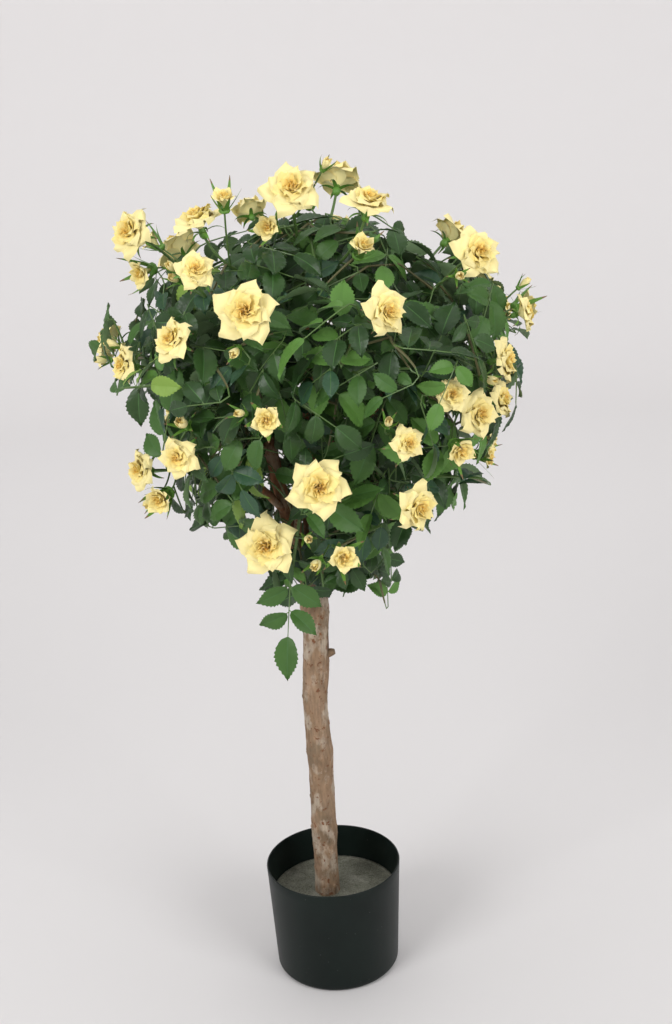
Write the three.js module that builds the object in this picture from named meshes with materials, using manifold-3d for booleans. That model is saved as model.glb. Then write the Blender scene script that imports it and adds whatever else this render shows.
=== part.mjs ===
// An artificial yellow rose tree: a natural wood stem set in a cement-filled plastic pot, three boughs with
// branches, and wired sprays of roses and compound leaves. Millimetres, +Z up, the front is -Y. The origin is
// the middle of the pot's underside.

import * as THREE from "three";
import { mergeVertices } from "three/addons/utils/BufferGeometryUtils.js";
import Module from "manifold-3d";

const wasm = await Module();
wasm.setup();

// ---- Driving dimensions ---------------------------------------------------------------------------------

const CLEAR = 0.3; // gap between pieces that touch
const SMALLEST = 0.05; // shorter edges that a join or cut leaves are closed up
const SLIVER = 0.01; // and lower triangles are done away with

const POT = { height: 123, rimRadius: 72.5, baseRadius: 66.5, wall: 1.8, floor: 3, edge: 7, sides: 40 };
const FILL_TOP = 84; // level of the cement in the pot

const TRUNK = { x: -8, footRadius: 13, tipRadius: 13.5, top: 458, sides: 12, steps: 12 };
const KNOT = { height: 366, length: 19, footRadius: 7, tipRadius: 3.6, lift: 5 }; // stub of a cut side shoot

const BOUGH = { footRadius: 9, tipRadius: 5.5, sides: 8, steps: 6 };
const BRANCH = { footRadius: 4.6, tipRadius: 3, sides: 6, steps: 4 };

const KNUCKLE = { radius: 4 }; // where the sprays of one mass fork
const STEM = { footRadius: 2, tipRadius: 1.7, steps: 3 }; // a spray's wired main stem
const STALK = { footRadius: 1.1, tipRadius: 1.1, steps: 2, leaves: 0.58 }; // of a side bloom
const LEAF = { petiole: 2.2, thickness: 0.9, bearing: 30, sag: 7, droop: 0.001, longest: 160 };
const LEAF_SCALES = [1, 0.8, 0.64]; // a leaf is smaller where there is no room for a full one
const LEAFLET = { length: 54, width: 33, widest: 0.42 }; // larger than life, and fewer
const SITES = 300; // places spread evenly over the crown, each of which may get a compound leaf
const SITE_DEPTHS = [20, 46, 32, 72, 58]; // under the crown's outline, taken in turn
const SPACE_MARGIN = 1.2; // how far a leaf stays from the edge of its mass's space
const LIMB_MARGIN = 2; // and from every limb
const STEM_MARGIN = 3; // and how far a leaflet stays from the middle of its own mass's stems

// The crown's outline, [height, reach]. No leaf goes outside it.
const CROWN = [
  [350, 45],
  [460, 75],
  [530, 160],
  [600, 195],
  [720, 228],
  [790, 195],
  [840, 120],
  [874, 60],
];

const CROWN_MIDDLE = new THREE.Vector3(14, 0, 650); // it stands to the right of the pot's

// The leaflets of a compound leaf, from its left side round to its right: how far along its bearing each
// leaves the leaf's middle line, its angle from that line in degrees, and its scale.
const LEAFLETS = [
  [0, 62, 0.9],
  [1, 0, 1],
  [0, -62, 0.9],
];

const degrees = THREE.MathUtils.degToRad;
const GOLDEN_ANGLE = degrees(137.508);
const UP = new THREE.Vector3(0, 0, 1);

// ---- Directions and places ------------------------------------------------------------------------------

// Azimuth 0 is the front, 90 is the right-hand side (+X). Tilt is above the horizon.
function towards(azimuth, tilt = 0) {
  const a = degrees(azimuth);
  const e = degrees(tilt);
  return new THREE.Vector3(Math.sin(a) * Math.cos(e), -Math.cos(a) * Math.cos(e), Math.sin(e));
}

function place(azimuth, reach, height) {
  return towards(azimuth).multiplyScalar(reach).setZ(height);
}

function across(direction) {
  const side = new THREE.Vector3().crossVectors(UP, direction);
  return side.lengthSq() < 1e-6 ? new THREE.Vector3(1, 0, 0) : side.normalize();
}

// The same seeded draw on every run: a Lehmer generator, from 0 to 1.
function seeded(seed) {
  let state = (seed * 7919 + 17) % 2147483647;
  const draw = () => (state = (state * 48271) % 2147483647) / 2147483647;
  draw();
  return draw;
}

// ---- Shapes ---------------------------------------------------------------------------------------------

const PLASTIC = new THREE.MeshStandardMaterial({ color: 0x1c2a2b, roughness: 0.45, metalness: 0 });
const CEMENT = new THREE.MeshStandardMaterial({ color: 0x8d897f, roughness: 0.95, metalness: 0 });
const BARK = new THREE.MeshStandardMaterial({ color: 0x8a6e5c, roughness: 0.85, metalness: 0 });
const FOLIAGE = new THREE.MeshStandardMaterial({ color: 0x2f5a2c, roughness: 0.7, metalness: 0 });

// A geometry of positions only, closed along its seams, so that it stays closed when its vertices are moved.
function closed(geometry) {
  geometry.deleteAttribute("normal");
  geometry.deleteAttribute("uv");
  return mergeVertices(geometry, 1e-4);
}

function solidOf(geometry) {
  return new wasm.Manifold(
    new wasm.Mesh({
      numProp: 3,
      vertProperties: geometry.attributes.position.array,
      triVerts: new Uint32Array(geometry.index.array),
    }),
  );
}

function largestPiece(solid) {
  return solid.decompose().reduce((a, b) => (a.volume() > b.volume() ? a : b));
}

// The surface that joins and cuts leave, without their needles and slivers: the short side of a needle is closed
// up, and the long side of a sliver is set across the two triangles that share it.
function cleaned(position, index) {
  const corner = (k) => new THREE.Vector3().fromBufferAttribute(position, k);
  const faces = Array.from({ length: index.count / 3 }, (_, i) => [0, 1, 2].map((k) => index.getX(3 * i + k)));
  const around = Array.from({ length: position.count }, () => new Set());
  const put = (i, face) => {
    for (const k of faces[i] ?? []) around[k].delete(i);
    faces[i] = face;
    for (const k of face ?? []) around[k].add(i);
  };
  faces.forEach((face, i) => put(i, face));
  const sizes = (face) => {
    const [a, b, c] = face.map(corner);
    const sides = [a.distanceTo(b), b.distanceTo(c), c.distanceTo(a)];
    const triangle = new THREE.Triangle(a, b, c);
    const longest = Math.max(...sides);
    const height = (2 * triangle.getArea()) / longest;
    return { sides, longest, height, normal: triangle.getNormal(new THREE.Vector3()) };
  };
  const sound = (face, before) => {
    const after = sizes(face);
    return after.height > Math.min(SLIVER, before.height) && after.normal.dot(before.normal) > 0.7;
  };
  const facesAt = (a, b) => [...around[a]].filter((i) => around[b].has(i));
  const neighbours = (k) => new Set([...around[k]].flatMap((i) => faces[i]).filter((other) => other !== k));
  const closeUp = (a, b) => {
    const near = neighbours(b);
    const shared = [...neighbours(a)].filter((k) => near.has(k));
    if (shared.length !== 2 || facesAt(a, b).length !== 2) return false;
    const moved = [...around[b]].filter((i) => !around[a].has(i));
    const closedUp = moved.map((i) => faces[i].map((k) => (k === b ? a : k)));
    const fits = (face, n) => sizes(faces[moved[n]]).height < SLIVER || sound(face, sizes(faces[moved[n]]));
    if (!closedUp.every(fits)) return false;
    for (const i of facesAt(a, b)) put(i, null);
    moved.forEach((i, n) => put(i, closedUp[n]));
    return true;
  };
  const turnOver = (i, longest) => {
    const [a, b, c] = [0, 1, 2].map((k) => faces[i][(longest + k) % 3]);
    const [j] = facesAt(a, b).filter((other) => other !== i);
    const d = faces[j].find((k) => k !== a && k !== b);
    if (facesAt(c, d).length) return;
    const pair = [
      [a, d, c],
      [d, b, c],
    ];
    const { height } = sizes(faces[i]);
    const before = { height, normal: sizes(faces[j]).normal };
    if (!pair.every((face) => sound(face, before))) return;
    put(i, pair[0]);
    put(j, pair[1]);
  };
  const passes = 5;
  for (let pass = 0; pass < passes; pass++) {
    for (let i = 0; i < faces.length; i++) {
      if (!faces[i]) continue;
      const { sides, longest, height } = sizes(faces[i]);
      if (height > SLIVER) continue;
      const shortest = sides.indexOf(Math.min(...sides));
      const [a, b] = [faces[i][shortest], faces[i][(shortest + 1) % 3]];
      if (sides[shortest] < SMALLEST && (closeUp(a, b) || closeUp(b, a))) continue;
      turnOver(i, sides.indexOf(longest));
    }
  }
  return faces.filter(Boolean).flat();
}

// Where two stretches of a surface only touch at an edge, each is drawn back a hair towards its own faces.
function drawApart(position, index) {
  const corner = new THREE.Vector3();
  const middles = Array.from({ length: position.count }, () => new THREE.Vector3());
  const places = new Map();
  for (let i = 0; i < position.count; i++) {
    const key = corner.fromBufferAttribute(position, i).toArray().map((x) => x.toFixed(3)).join(" ");
    places.set(key, [...(places.get(key) ?? []), i]);
  }
  for (let i = 0; i < index.count; i += 3) {
    const face = [0, 1, 2].map((k) => index.getX(i + k));
    const sum = new THREE.Vector3();
    for (const k of face) sum.add(corner.fromBufferAttribute(position, k));
    for (const k of face) middles[k].addScaledVector(sum, 1 / 3).sub(corner.fromBufferAttribute(position, k));
  }
  for (const same of places.values()) {
    if (same.length < 2) continue;
    for (const i of same) {
      corner.fromBufferAttribute(position, i).addScaledVector(middles[i].normalize(), SMALLEST);
      position.setXYZ(i, corner.x, corner.y, corner.z);
    }
  }
}

function meshOf(name, solid, material) {
  const made = largestPiece(solid.simplify(SMALLEST)).getMesh();
  const geometry = new THREE.BufferGeometry();
  geometry.setAttribute("position", new THREE.BufferAttribute(made.vertProperties, made.numProp));
  geometry.setIndex(new THREE.BufferAttribute(made.triVerts, 1));
  geometry.setIndex(cleaned(geometry.attributes.position, geometry.index));
  drawApart(geometry.attributes.position, geometry.index);
  geometry.computeVertexNormals();
  const mesh = new THREE.Mesh(geometry, material);
  mesh.name = name;
  return mesh;
}

function moveVertices(geometry, move) {
  const position = geometry.attributes.position;
  const v = new THREE.Vector3();
  for (let i = 0; i < position.count; i++) {
    v.fromBufferAttribute(position, i);
    move(v);
    position.setXYZ(i, v.x, v.y, v.z);
  }
  return geometry;
}

// A cylinder whose rings are moved onto a curve, with a radius for each share of its length. Its two ends can
// be set further apart.
function tube(curve, radiusAt, sides, steps, longer = 0) {
  const frames = curve.computeFrenetFrames(steps);
  return moveVertices(closed(new THREE.CylinderGeometry(1, 1, 1, sides, steps)), (v) => {
    const share = v.y + 0.5;
    const step = Math.round(share * steps);
    const radius = radiusAt(share);
    const { x, z } = v;
    v.copy(curve.getPointAt(share));
    if (step % steps === 0) v.addScaledVector(frames.tangents[step], step ? longer : -longer);
    v.addScaledVector(frames.normals[step], x * radius);
    v.addScaledVector(frames.binormals[step], -z * radius);
  });
}

function turnTo(direction) {
  return new THREE.Quaternion().setFromUnitVectors(UP, direction);
}

// ---- The pot and its cement -----------------------------------------------------------------------------

function lathe(profile, sides) {
  const points = profile.map(([radius, height]) => new THREE.Vector2(radius, height));
  return closed(new THREE.LatheGeometry(points, sides).rotateX(Math.PI / 2));
}

function potRadius(height) {
  return POT.baseRadius + ((POT.rimRadius - POT.baseRadius) * height) / POT.height;
}

function pot() {
  const foot = [];
  const corners = 2;
  for (let i = 0; i <= corners; i++) {
    const turn = (i / corners) * (Math.PI / 2);
    const inset = POT.edge * (1 - Math.sin(turn));
    foot.push([potRadius(POT.edge) - inset, POT.edge * (1 - Math.cos(turn))]);
  }
  const inner = (height) => [potRadius(height) - POT.wall, height];
  const corner = inner(POT.floor + POT.edge);
  return lathe(
    [
      [0, 0],
      ...foot,
      [POT.rimRadius, POT.height],
      inner(POT.height),
      corner,
      [corner[0] - POT.edge, POT.floor],
      [0, POT.floor],
    ],
    POT.sides,
  );
}

function cement() {
  const inner = (height) => potRadius(height) - POT.wall - CLEAR;
  const shoulder = POT.floor + POT.edge;
  return lathe(
    [
      [0, POT.floor + CLEAR],
      [inner(shoulder) - POT.edge - CLEAR, POT.floor + CLEAR],
      [inner(shoulder), shoulder + CLEAR],
      [inner(FILL_TOP), FILL_TOP],
      [0, FILL_TOP],
    ],
    POT.sides,
  );
}

// ---- Trunk, boughs and branches -------------------------------------------------------------------------

// A limb is a curve with a foot and a tip radius. Its grown copy is what its neighbours are cut back from.
function limb(name, points, sizes) {
  const curve = new THREE.CatmullRomCurve3(points);
  const radiusAt = (share) => sizes.footRadius + (sizes.tipRadius - sizes.footRadius) * share;
  return { name, curve, radiusAt, ...sizes, tip: points.at(-1), way: curve.getTangentAt(1) };
}

function limbSolid(part, grow = 0) {
  const rounded = 0.75; // share of the radius at the very tip, so the end isn't a sharp-edged cut
  const facets = Math.cos(Math.PI / part.sides);
  const radiusAt = (share) => part.radiusAt(share) * (share > 0.999 ? rounded : 1) + grow / facets;
  return solidOf(tube(part.curve, radiusAt, part.sides, part.steps, grow));
}

const trunkFoot = new THREE.Vector3(TRUNK.x, 0, FILL_TOP + CLEAR);
const fork = new THREE.Vector3(-3, 0, TRUNK.top);
const trunk = limb(
  "trunk",
  [
    trunkFoot,
    new THREE.Vector3(TRUNK.x + 0.5, 1, 170),
    new THREE.Vector3(TRUNK.x + 1, 2, 245),
    new THREE.Vector3(TRUNK.x - 1, 1, 312),
    new THREE.Vector3(TRUNK.x + 3, 0, 375),
    fork,
  ],
  TRUNK,
);

// The foot is level, so that it stands flat on the cement.
function levelFoot(solid) {
  const reach = 60;
  const box = new THREE.BoxGeometry(reach, reach, reach).translate(
    TRUNK.x,
    0,
    FILL_TOP + CLEAR - reach / 2,
  );
  return solid.subtract(solidOf(closed(box)));
}

function knot() {
  const middle = new THREE.Vector3(TRUNK.x + 3, 0, KNOT.height);
  const end = middle.clone().add(new THREE.Vector3(KNOT.length, -2, KNOT.lift));
  const radiusAt = (share) => KNOT.footRadius + (KNOT.tipRadius - KNOT.footRadius) * share;
  return solidOf(tube(new THREE.LineCurve3(middle, end), radiusAt, 8, 2));
}

// Each bough leaves the fork towards an azimuth and ends at a reach and height, with one bend on the way.
const BOUGHS = [
  { name: "bough_left", azimuth: -78, reach: 46, height: 642, bend: 0.62 },
  { name: "bough_right", azimuth: 68, reach: 52, height: 632, bend: 0.42 },
  { name: "bough_back", azimuth: 178, reach: 48, height: 636, bend: 0.5 },
];

const boughs = BOUGHS.map(({ name, azimuth, reach, height, bend }) => {
  const foot = fork.clone().addScaledVector(towards(azimuth), 4).setZ(TRUNK.top - 16);
  const middle = fork.clone().addScaledVector(towards(azimuth), reach * bend);
  middle.z = TRUNK.top + (height - TRUNK.top) * 0.5;
  return limb(name, [foot, middle, place(azimuth, reach, height)], BOUGH);
});

// Branches leave a bough at a share of its length.
const BRANCHES = [
  { name: "branch_left_middle", bough: 0, from: 0.7, azimuth: -84, reach: 106, height: 668 },
  { name: "branch_left_low", bough: 0, from: 0.42, azimuth: -56, reach: 92, height: 584 },
  { name: "branch_front_low", bough: 0, from: 0.25, azimuth: -8, reach: 72, height: 552 },
  { name: "branch_back_left", bough: 0, from: 0.58, azimuth: -142, reach: 96, height: 648 },
  { name: "branch_front_high", bough: 1, from: 0.7, azimuth: 0, reach: 86, height: 694 },
  { name: "branch_right_middle", bough: 1, from: 0.78, azimuth: 56, reach: 116, height: 664 },
  { name: "branch_right_low", bough: 1, from: 0.4, azimuth: 44, reach: 92, height: 572 },
  { name: "branch_back_right", bough: 1, from: 0.58, azimuth: 118, reach: 98, height: 640 },
  { name: "branch_back_middle", bough: 2, from: 0.64, azimuth: 174, reach: 104, height: 664 },
  { name: "branch_back_low", bough: 2, from: 0.4, azimuth: 184, reach: 92, height: 570 },
  { name: "branch_top", bough: 2, from: 0.8, azimuth: 20, reach: 14, height: 752 },
];

const branches = BRANCHES.map(({ name, bough, from, azimuth, reach, height }) => {
  const foot = boughs[bough].curve.getPointAt(from);
  const tip = place(azimuth, reach, height);
  const middle = foot.clone().lerp(tip, 0.5);
  middle.z += 0.08 * foot.distanceTo(tip);
  return limb(name, [foot, middle, tip], BRANCH);
});

const limbs = [trunk, ...boughs, ...branches];

// Every limb is cut back from the ones before it, grown by the clearance.
function limbMeshes() {
  const before = [];
  return limbs.map((part) => {
    let solid = limbSolid(part);
    if (part === trunk) solid = levelFoot(solid.add(knot()));
    for (const other of before) solid = solid.subtract(other);
    before.push(part === trunk ? limbSolid(part, CLEAR).add(knot()) : limbSolid(part, CLEAR));
    return meshOf(part.name, solid, BARK);
  });
}

// ---- Sprays ---------------------------------------------------------------------------------------------

// Each limb carries one mass of foliage: sprays that fork from the limb's tip. One row for each spray: the
// azimuth, reach and height where its lead bloom stands, the azimuth and tilt that it looks to, and its
// blooms, each [diameter, clock angle round the lead bloom as seen from outside]. A shoot without blooms bears
// leaves. Under BUD_SIZE a bloom is a bud.
const BUD_SIZE = 30;
const LEAST_BLOOM = 16; // a smaller bud doesn't show from a step away, and isn't made
const FOLIAGE_MASSES = {
  bough_left: [
    { stands: [-85, 158, 812], looks: [-40, 25], blooms: [[48], [27, 190]] },
    { stands: [-34, 197, 738], looks: [-42, 30], blooms: [[40]] },
  ],
  branch_left_middle: [
    { stands: [-56, 194, 706], looks: [-62, 12], blooms: [[38], [14, 300]] },
    { stands: [-101, 200, 700], looks: [-104, 18], blooms: [[46], [14, 110]] },
  ],
  branch_left_low: [
    { stands: [-37, 190, 630], looks: [-20, 5], blooms: [[38], [18, 10]] },
    { stands: [-61, 181, 602], looks: [-50, 12], blooms: [[38], [28, 130], [16, 160]] },
    { stands: [-92, 178, 570], looks: [-95, -10], blooms: [] },
  ],
  branch_front_low: [
    { stands: [-16, 152, 541], looks: [-12, 12], blooms: [[56], [13, 80]] },
    { stands: [3, 190, 608], looks: [5, 14], blooms: [[54]] },
    { stands: [11, 150, 526], looks: [12, 5], blooms: [[27], [17, 262]] },
    { stands: [-16, 104, 462], looks: [-20, -55], blooms: [] },
  ],
  branch_back_left: [
    { stands: [-135, 182, 776], looks: [-135, 30], blooms: [[50], [22, 70]] },
    { stands: [-128, 182, 596], looks: [-125, 6], blooms: [[48], [16, 290]] },
  ],
  bough_right: [
    { stands: [59, 188, 789], looks: [30, 25], blooms: [[48], [13, 240]] },
    { stands: [104, 204, 716], looks: [106, 20], blooms: [[42], [30, 60]] },
  ],
  branch_front_high: [
    { stands: [-30, 170, 794], looks: [10, 35], blooms: [[36], [12, 270], [12, 250]] },
    { stands: [-13, 193, 763], looks: [-5, 22], blooms: [[54], [14, 200]] },
    { stands: [22, 200, 757], looks: [38, 12], blooms: [[44]] },
    { stands: [-9, 202, 672], looks: [0, 10], blooms: [[26], [13, 285]] },
    { stands: [16, 176, 700], looks: [14, 0], blooms: [] },
  ],
  branch_right_middle: [
    { stands: [72, 218, 728], looks: [88, 15], blooms: [[34], [24, 85], [12, 25]] },
    { stands: [60, 212, 693], looks: [70, 10], blooms: [[40], [14, 245]] },
    { stands: [49, 206, 652], looks: [35, 12], blooms: [[43], [34, 305], [37, 85], [26, 215]] },
    { stands: [26, 202, 641], looks: [32, 15], blooms: [[32], [13, 320]] },
  ],
  branch_right_low: [
    { stands: [33, 180, 572], looks: [45, 0], blooms: [[47]] },
    { stands: [60, 186, 578], looks: [70, -5], blooms: [] },
    { stands: [92, 180, 592], looks: [98, 5], blooms: [[40], [24, 250]] },
  ],
  branch_back_right: [
    { stands: [120, 184, 782], looks: [120, 30], blooms: [[48], [14, 250]] },
    { stands: [124, 196, 610], looks: [124, 6], blooms: [[46], [28, 100]] },
  ],
  bough_back: [
    { stands: [165, 186, 778], looks: [162, 28], blooms: [[44], [26, 100]] },
    { stands: [-160, 150, 812], looks: [-160, 40], blooms: [[38]] },
  ],
  branch_back_middle: [
    { stands: [148, 206, 672], looks: [148, 10], blooms: [[52]] },
    { stands: [-162, 204, 690], looks: [-160, 14], blooms: [[40], [26, 80], [14, 30]] },
  ],
  branch_back_low: [
    { stands: [158, 176, 574], looks: [155, 4], blooms: [[46], [24, 100]] },
    { stands: [-165, 178, 584], looks: [-162, 4], blooms: [[44]] },
    { stands: [-178, 128, 516], looks: [-178, -20], blooms: [[36]] },
  ],
  branch_top: [
    { stands: [-1, 87, 852], looks: [0, 38], blooms: [[52], [24, 215], [13, 60]] },
    { stands: [-46, 120, 831], looks: [-60, 72], blooms: [[46], [22, 60]] },
    { stands: [34, 118, 840], looks: [40, 70], blooms: [[46], [24, 185]] },
    { stands: [150, 86, 846], looks: [165, 50], blooms: [[50], [24, 120]] },
  ],
};

function bezier(start, control, end) {
  return new THREE.QuadraticBezierCurve3(start, control, end);
}

// A bloom's base lies behind its middle, a slender bud's further. Its reach is round its middle.
function behind(middle, look, size) {
  return middle.clone().addScaledVector(look, (size < BUD_SIZE ? -0.6 : -0.3) * size);
}

function bloomAt(size, base, look, middle) {
  return { size, base, look, middle, reach: (size < BUD_SIZE ? 0.62 : 0.5) * size };
}

// The skeleton of a spray: its main stem, the stalks of its side blooms and the blooms on their ends.
function skeleton({ stands, looks, blooms }, carrier, index) {
  const [azimuth] = stands;
  const middle = place(...stands);
  const look = towards(...looks);
  const outward = towards(azimuth);
  const right = new THREE.Vector3().crossVectors(UP, outward);
  const leadSize = blooms.length ? blooms[0][0] : 0;
  const head = behind(middle, look, leadSize);
  const start = carrier.tip.clone().addScaledVector(carrier.way, KNUCKLE.radius + CLEAR);
  const control = head.clone().addScaledVector(look, -0.42 * head.distanceTo(start));
  const stem = bezier(start, control, head);
  const heads = leadSize ? [bloomAt(leadSize, head, look, middle)] : [];
  const stalks = [];
  blooms.slice(1).forEach(([size, clock], k) => {
    if (size < LEAST_BLOOM) return;
    const turn = degrees(clock);
    const aside = UP.clone().multiplyScalar(Math.cos(turn)).addScaledVector(right, Math.sin(turn));
    const gap = 4;
    const spacing = (leadSize + size) / 2 + gap;
    const sideMiddle = middle.clone().addScaledVector(aside, spacing);
    sideMiddle.addScaledVector(outward, -0.12 * leadSize);
    const sideLook = look.clone().addScaledVector(aside, 0.55).normalize();
    const base = behind(sideMiddle, sideLook, size);
    const root = stem.getPoint(STALK.leaves + 0.08 * k);
    const bend = base.clone().addScaledVector(sideLook, -0.5 * base.distanceTo(root));
    stalks.push(bezier(root, bend, base));
    heads.push(bloomAt(size, base, sideLook, sideMiddle));
  });
  return { index, stem, stalks, heads, outward };
}

const masses = [...boughs, ...branches].map((carrier, i) => {
  const sprays = FOLIAGE_MASSES[carrier.name].map((row, j) => skeleton(row, carrier, 10 * i + j));
  return { name: carrier.name.replace(/^[a-z]+/, "foliage"), carrier, sprays };
});

// ---- Each mass's own space ------------------------------------------------------------------------------

function polyline(curve, steps = 8) {
  return Array.from({ length: steps + 1 }, (_, i) => curve.getPoint(i / steps));
}

for (const mass of masses) {
  mass.lines = mass.sprays.flatMap(({ stem, stalks }) => [stem, ...stalks]).map((curve) => polyline(curve));
  mass.heads = mass.sprays.flatMap(({ heads }) => heads);
}

const nearest = new THREE.Vector3();
const segment = new THREE.Line3();

function distanceToLine(point, line) {
  let least = Infinity;
  for (let i = 1; i < line.length; i++) {
    segment.set(line[i - 1], line[i]).closestPointToPoint(point, true, nearest);
    least = Math.min(least, nearest.distanceTo(point));
  }
  return least;
}

// A point lies in the space of the mass whose stems or blooms are nearest to it.
function distanceToMass(point, mass) {
  const toStem = Math.min(...mass.lines.map((line) => distanceToLine(point, line)));
  return Math.min(toStem, ...mass.heads.map((head) => head.middle.distanceTo(point) - head.reach));
}

function inSpace(points, mass) {
  return points.every((point) => {
    const own = distanceToMass(point, mass) + 2 * SPACE_MARGIN;
    return masses.every((other) => other === mass || distanceToMass(point, other) > own);
  });
}

const LIMB_STEPS = 12;
for (const part of limbs) part.line = polyline({ getPoint: (t) => part.curve.getPointAt(t) }, LIMB_STEPS);

function crownReach(height) {
  const upper = CROWN.findIndex(([level]) => level > height);
  if (upper < 1) return 0;
  const [[low, lowReach], [high, highReach]] = CROWN.slice(upper - 1, upper + 1);
  return lowReach + ((highReach - lowReach) * (height - low)) / (high - low);
}

function inCrown(points) {
  return points.every(({ x, y, z }) => Math.hypot(x - CROWN_MIDDLE.x, y) < crownReach(z));
}

function clearOfBlooms(points, mass) {
  return points.every((point) => mass.heads.every((head) => head.middle.distanceTo(point) > head.reach));
}

function clearOfStems(points, mass) {
  return points.every((point) => mass.lines.every((line) => distanceToLine(point, line) > STEM_MARGIN));
}

function clearOfLimbs(points) {
  return points.every((point) =>
    limbs.every((part) => distanceToLine(point, part.line) > part.footRadius + LIMB_MARGIN),
  );
}

// ---- Blooms and leaves ----------------------------------------------------------------------------------

// An open rose: a low cup of six pointed petals. The inner petals stand between the outer ones, round a sunk
// heart.
function rose({ size, base, look }) {
  const radius = size / 2;
  const petals = 6;
  const profile = [
    [0, -2],
    [radius, 0.24 * size],
    [0.56 * radius, 0.44 * size],
    [0, 0.36 * size],
  ];
  const half = new THREE.Quaternion().setFromAxisAngle(UP, Math.PI / petals);
  const shape = moveVertices(lathe(profile, petals), (v) => {
    if (v.z > 0.4 * size) v.applyQuaternion(half);
  });
  return shape.applyQuaternion(turnTo(look)).translate(base.x, base.y, base.z);
}

// A bud or a half-open bloom: a spindle of four ribs.
function bud({ size, base, look }) {
  const radius = size / 2;
  const profile = [
    [0, -1.5],
    [0.95 * radius, 0.3 * size],
    [0.85 * radius, 0.9 * size],
    [0, 1.2 * size],
  ];
  return lathe(profile, 4).applyQuaternion(turnTo(look)).translate(base.x, base.y, base.z);
}

// Points spread along the edges and the midrib of a leaflet.
function samples(line, row) {
  const at = joint(line, row);
  const [, bearing, size] = row;
  const base = new THREE.Vector2(at, 0);
  const [left, tip, right] = kite(at, bearing, size * line.scale);
  const runs = [
    [base, left],
    [left, tip],
    [tip, right],
    [right, base],
    [base, tip],
  ];
  const steps = 7;
  return runs.flatMap(([from, to]) =>
    Array.from({ length: steps }, (_, i) => {
      const { x, y } = from.clone().lerp(to, i / steps);
      return ontoLeaf(line, new THREE.Vector3(x, y, 0));
    }),
  );
}

// The places for compound leaves, on a golden spiral down the crown.
function siteOf(i) {
  const lowest = CROWN[0][0];
  const highest = CROWN.at(-1)[0];
  const height = highest - ((highest - lowest) * (i + 0.5)) / SITES;
  const reach = Math.max(0, crownReach(height) - SITE_DEPTHS[i % SITE_DEPTHS.length]);
  const azimuth = i * GOLDEN_ANGLE;
  return new THREE.Vector3(Math.sin(azimuth) * reach + CROWN_MIDDLE.x, -Math.cos(azimuth) * reach, height);
}

// The outline of a leaflet, a kite, in the plane of its leaf.
function kite(at, bearing, scale) {
  const turn = degrees(bearing);
  const halfWidth = (LEAFLET.width * scale) / 2;
  const ahead = new THREE.Vector2(Math.cos(turn), Math.sin(turn)).multiplyScalar(LEAFLET.length * scale);
  const aside = new THREE.Vector2(-Math.sin(turn), Math.cos(turn)).multiplyScalar(halfWidth);
  const waist = new THREE.Vector2(at, 0).addScaledVector(ahead, LEAFLET.widest);
  return [waist.clone().add(aside), new THREE.Vector2(at, 0).add(ahead), waist.clone().sub(aside)];
}

// A compound leaf at a site: its petiole runs from the nearest stem of its mass to its base, and from there its
// blade hangs along the crown to a bearing (0 is straight down). It faces outward.
function leafLine(mass, site, bearing, scale, draw) {
  const places = mass.lines.flatMap((line) => line.slice(1, -1));
  const root = places.reduce((a, b) => (a.distanceTo(site) < b.distanceTo(site) ? a : b));
  const outward = site.clone().sub(CROWN_MIDDLE);
  outward.setZ(Math.max(0, outward.z)).normalize(); // the leaves of the lower crown hang straight down
  const sideways = across(outward);
  const down = new THREE.Vector3().crossVectors(sideways, outward).negate();
  const turn = degrees(bearing);
  const along = down.multiplyScalar(Math.cos(turn)).addScaledVector(sideways, Math.sin(turn));
  const reach = (LEAF.bearing + LEAFLET.length) * scale;
  const base = site.clone().addScaledVector(along, -0.4 * reach);
  const end = site.clone().addScaledVector(along, 0.6 * reach).addScaledVector(UP, -LEAF.sag);
  const ahead = end.sub(base).normalize();
  const normal = outward.multiplyScalar(0.9).addScaledVector(UP, 0.2 + 0.5 * draw());
  normal.addScaledVector(across(along), 0.5 * (draw() - 0.5));
  normal.addScaledVector(ahead, -normal.dot(ahead)).normalize();
  const aside = new THREE.Vector3().crossVectors(normal, ahead);
  return { petiole: new THREE.LineCurve3(root, base), ahead, aside, normal, scale, reach };
}

// Puts a point of the leaf's plane into its place: x along the blade from its base, y across it, z out of its
// face.
function ontoLeaf({ petiole, ahead, aside, normal }, v) {
  const { x, y, z } = v;
  const fold = 0.22 * Math.abs(y); // the halves of a leaf fall away from its midrib
  const droop = LEAF.droop * x * Math.max(0, x);
  v.copy(petiole.v2).addScaledVector(ahead, x).addScaledVector(aside, y);
  return v.addScaledVector(normal, z - fold - droop);
}

// How far from the blade's base a leaflet leaves its middle line.
function joint({ scale }, [share]) {
  return scale * LEAF.bearing * share;
}

// The blade, cut from one sheet with the leaflets given.
function blade(line, leaflets) {
  const half = LEAF.petiole / 2;
  const outline = [new THREE.Vector2(-half, half)];
  for (const row of leaflets) {
    const [, bearing, size] = row;
    outline.push(...kite(joint(line, row), bearing, size * line.scale));
  }
  outline.push(new THREE.Vector2(-half, -half));
  const sheet = new THREE.Shape(outline);
  const cut = new THREE.ExtrudeGeometry(sheet, { depth: LEAF.thickness, bevelEnabled: false });
  return moveVertices(closed(cut), (v) => ontoLeaf(line, v));
}

// The petiole's tip is sunk into the blade's base.
function petiole(line) {
  const tip = ontoLeaf(line, new THREE.Vector3(LEAF.petiole, 0, LEAF.thickness / 2));
  return tube(new THREE.LineCurve3(line.petiole.v1, tip), () => LEAF.petiole / 2, 3, 1);
}

function tapering({ footRadius, tipRadius }) {
  return (share) => footRadius + (tipRadius - footRadius) * share;
}

function mayGrow(points, mass) {
  return inCrown(points) && clearOfBlooms(points, mass) && clearOfLimbs(points) && inSpace(points, mass);
}

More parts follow.
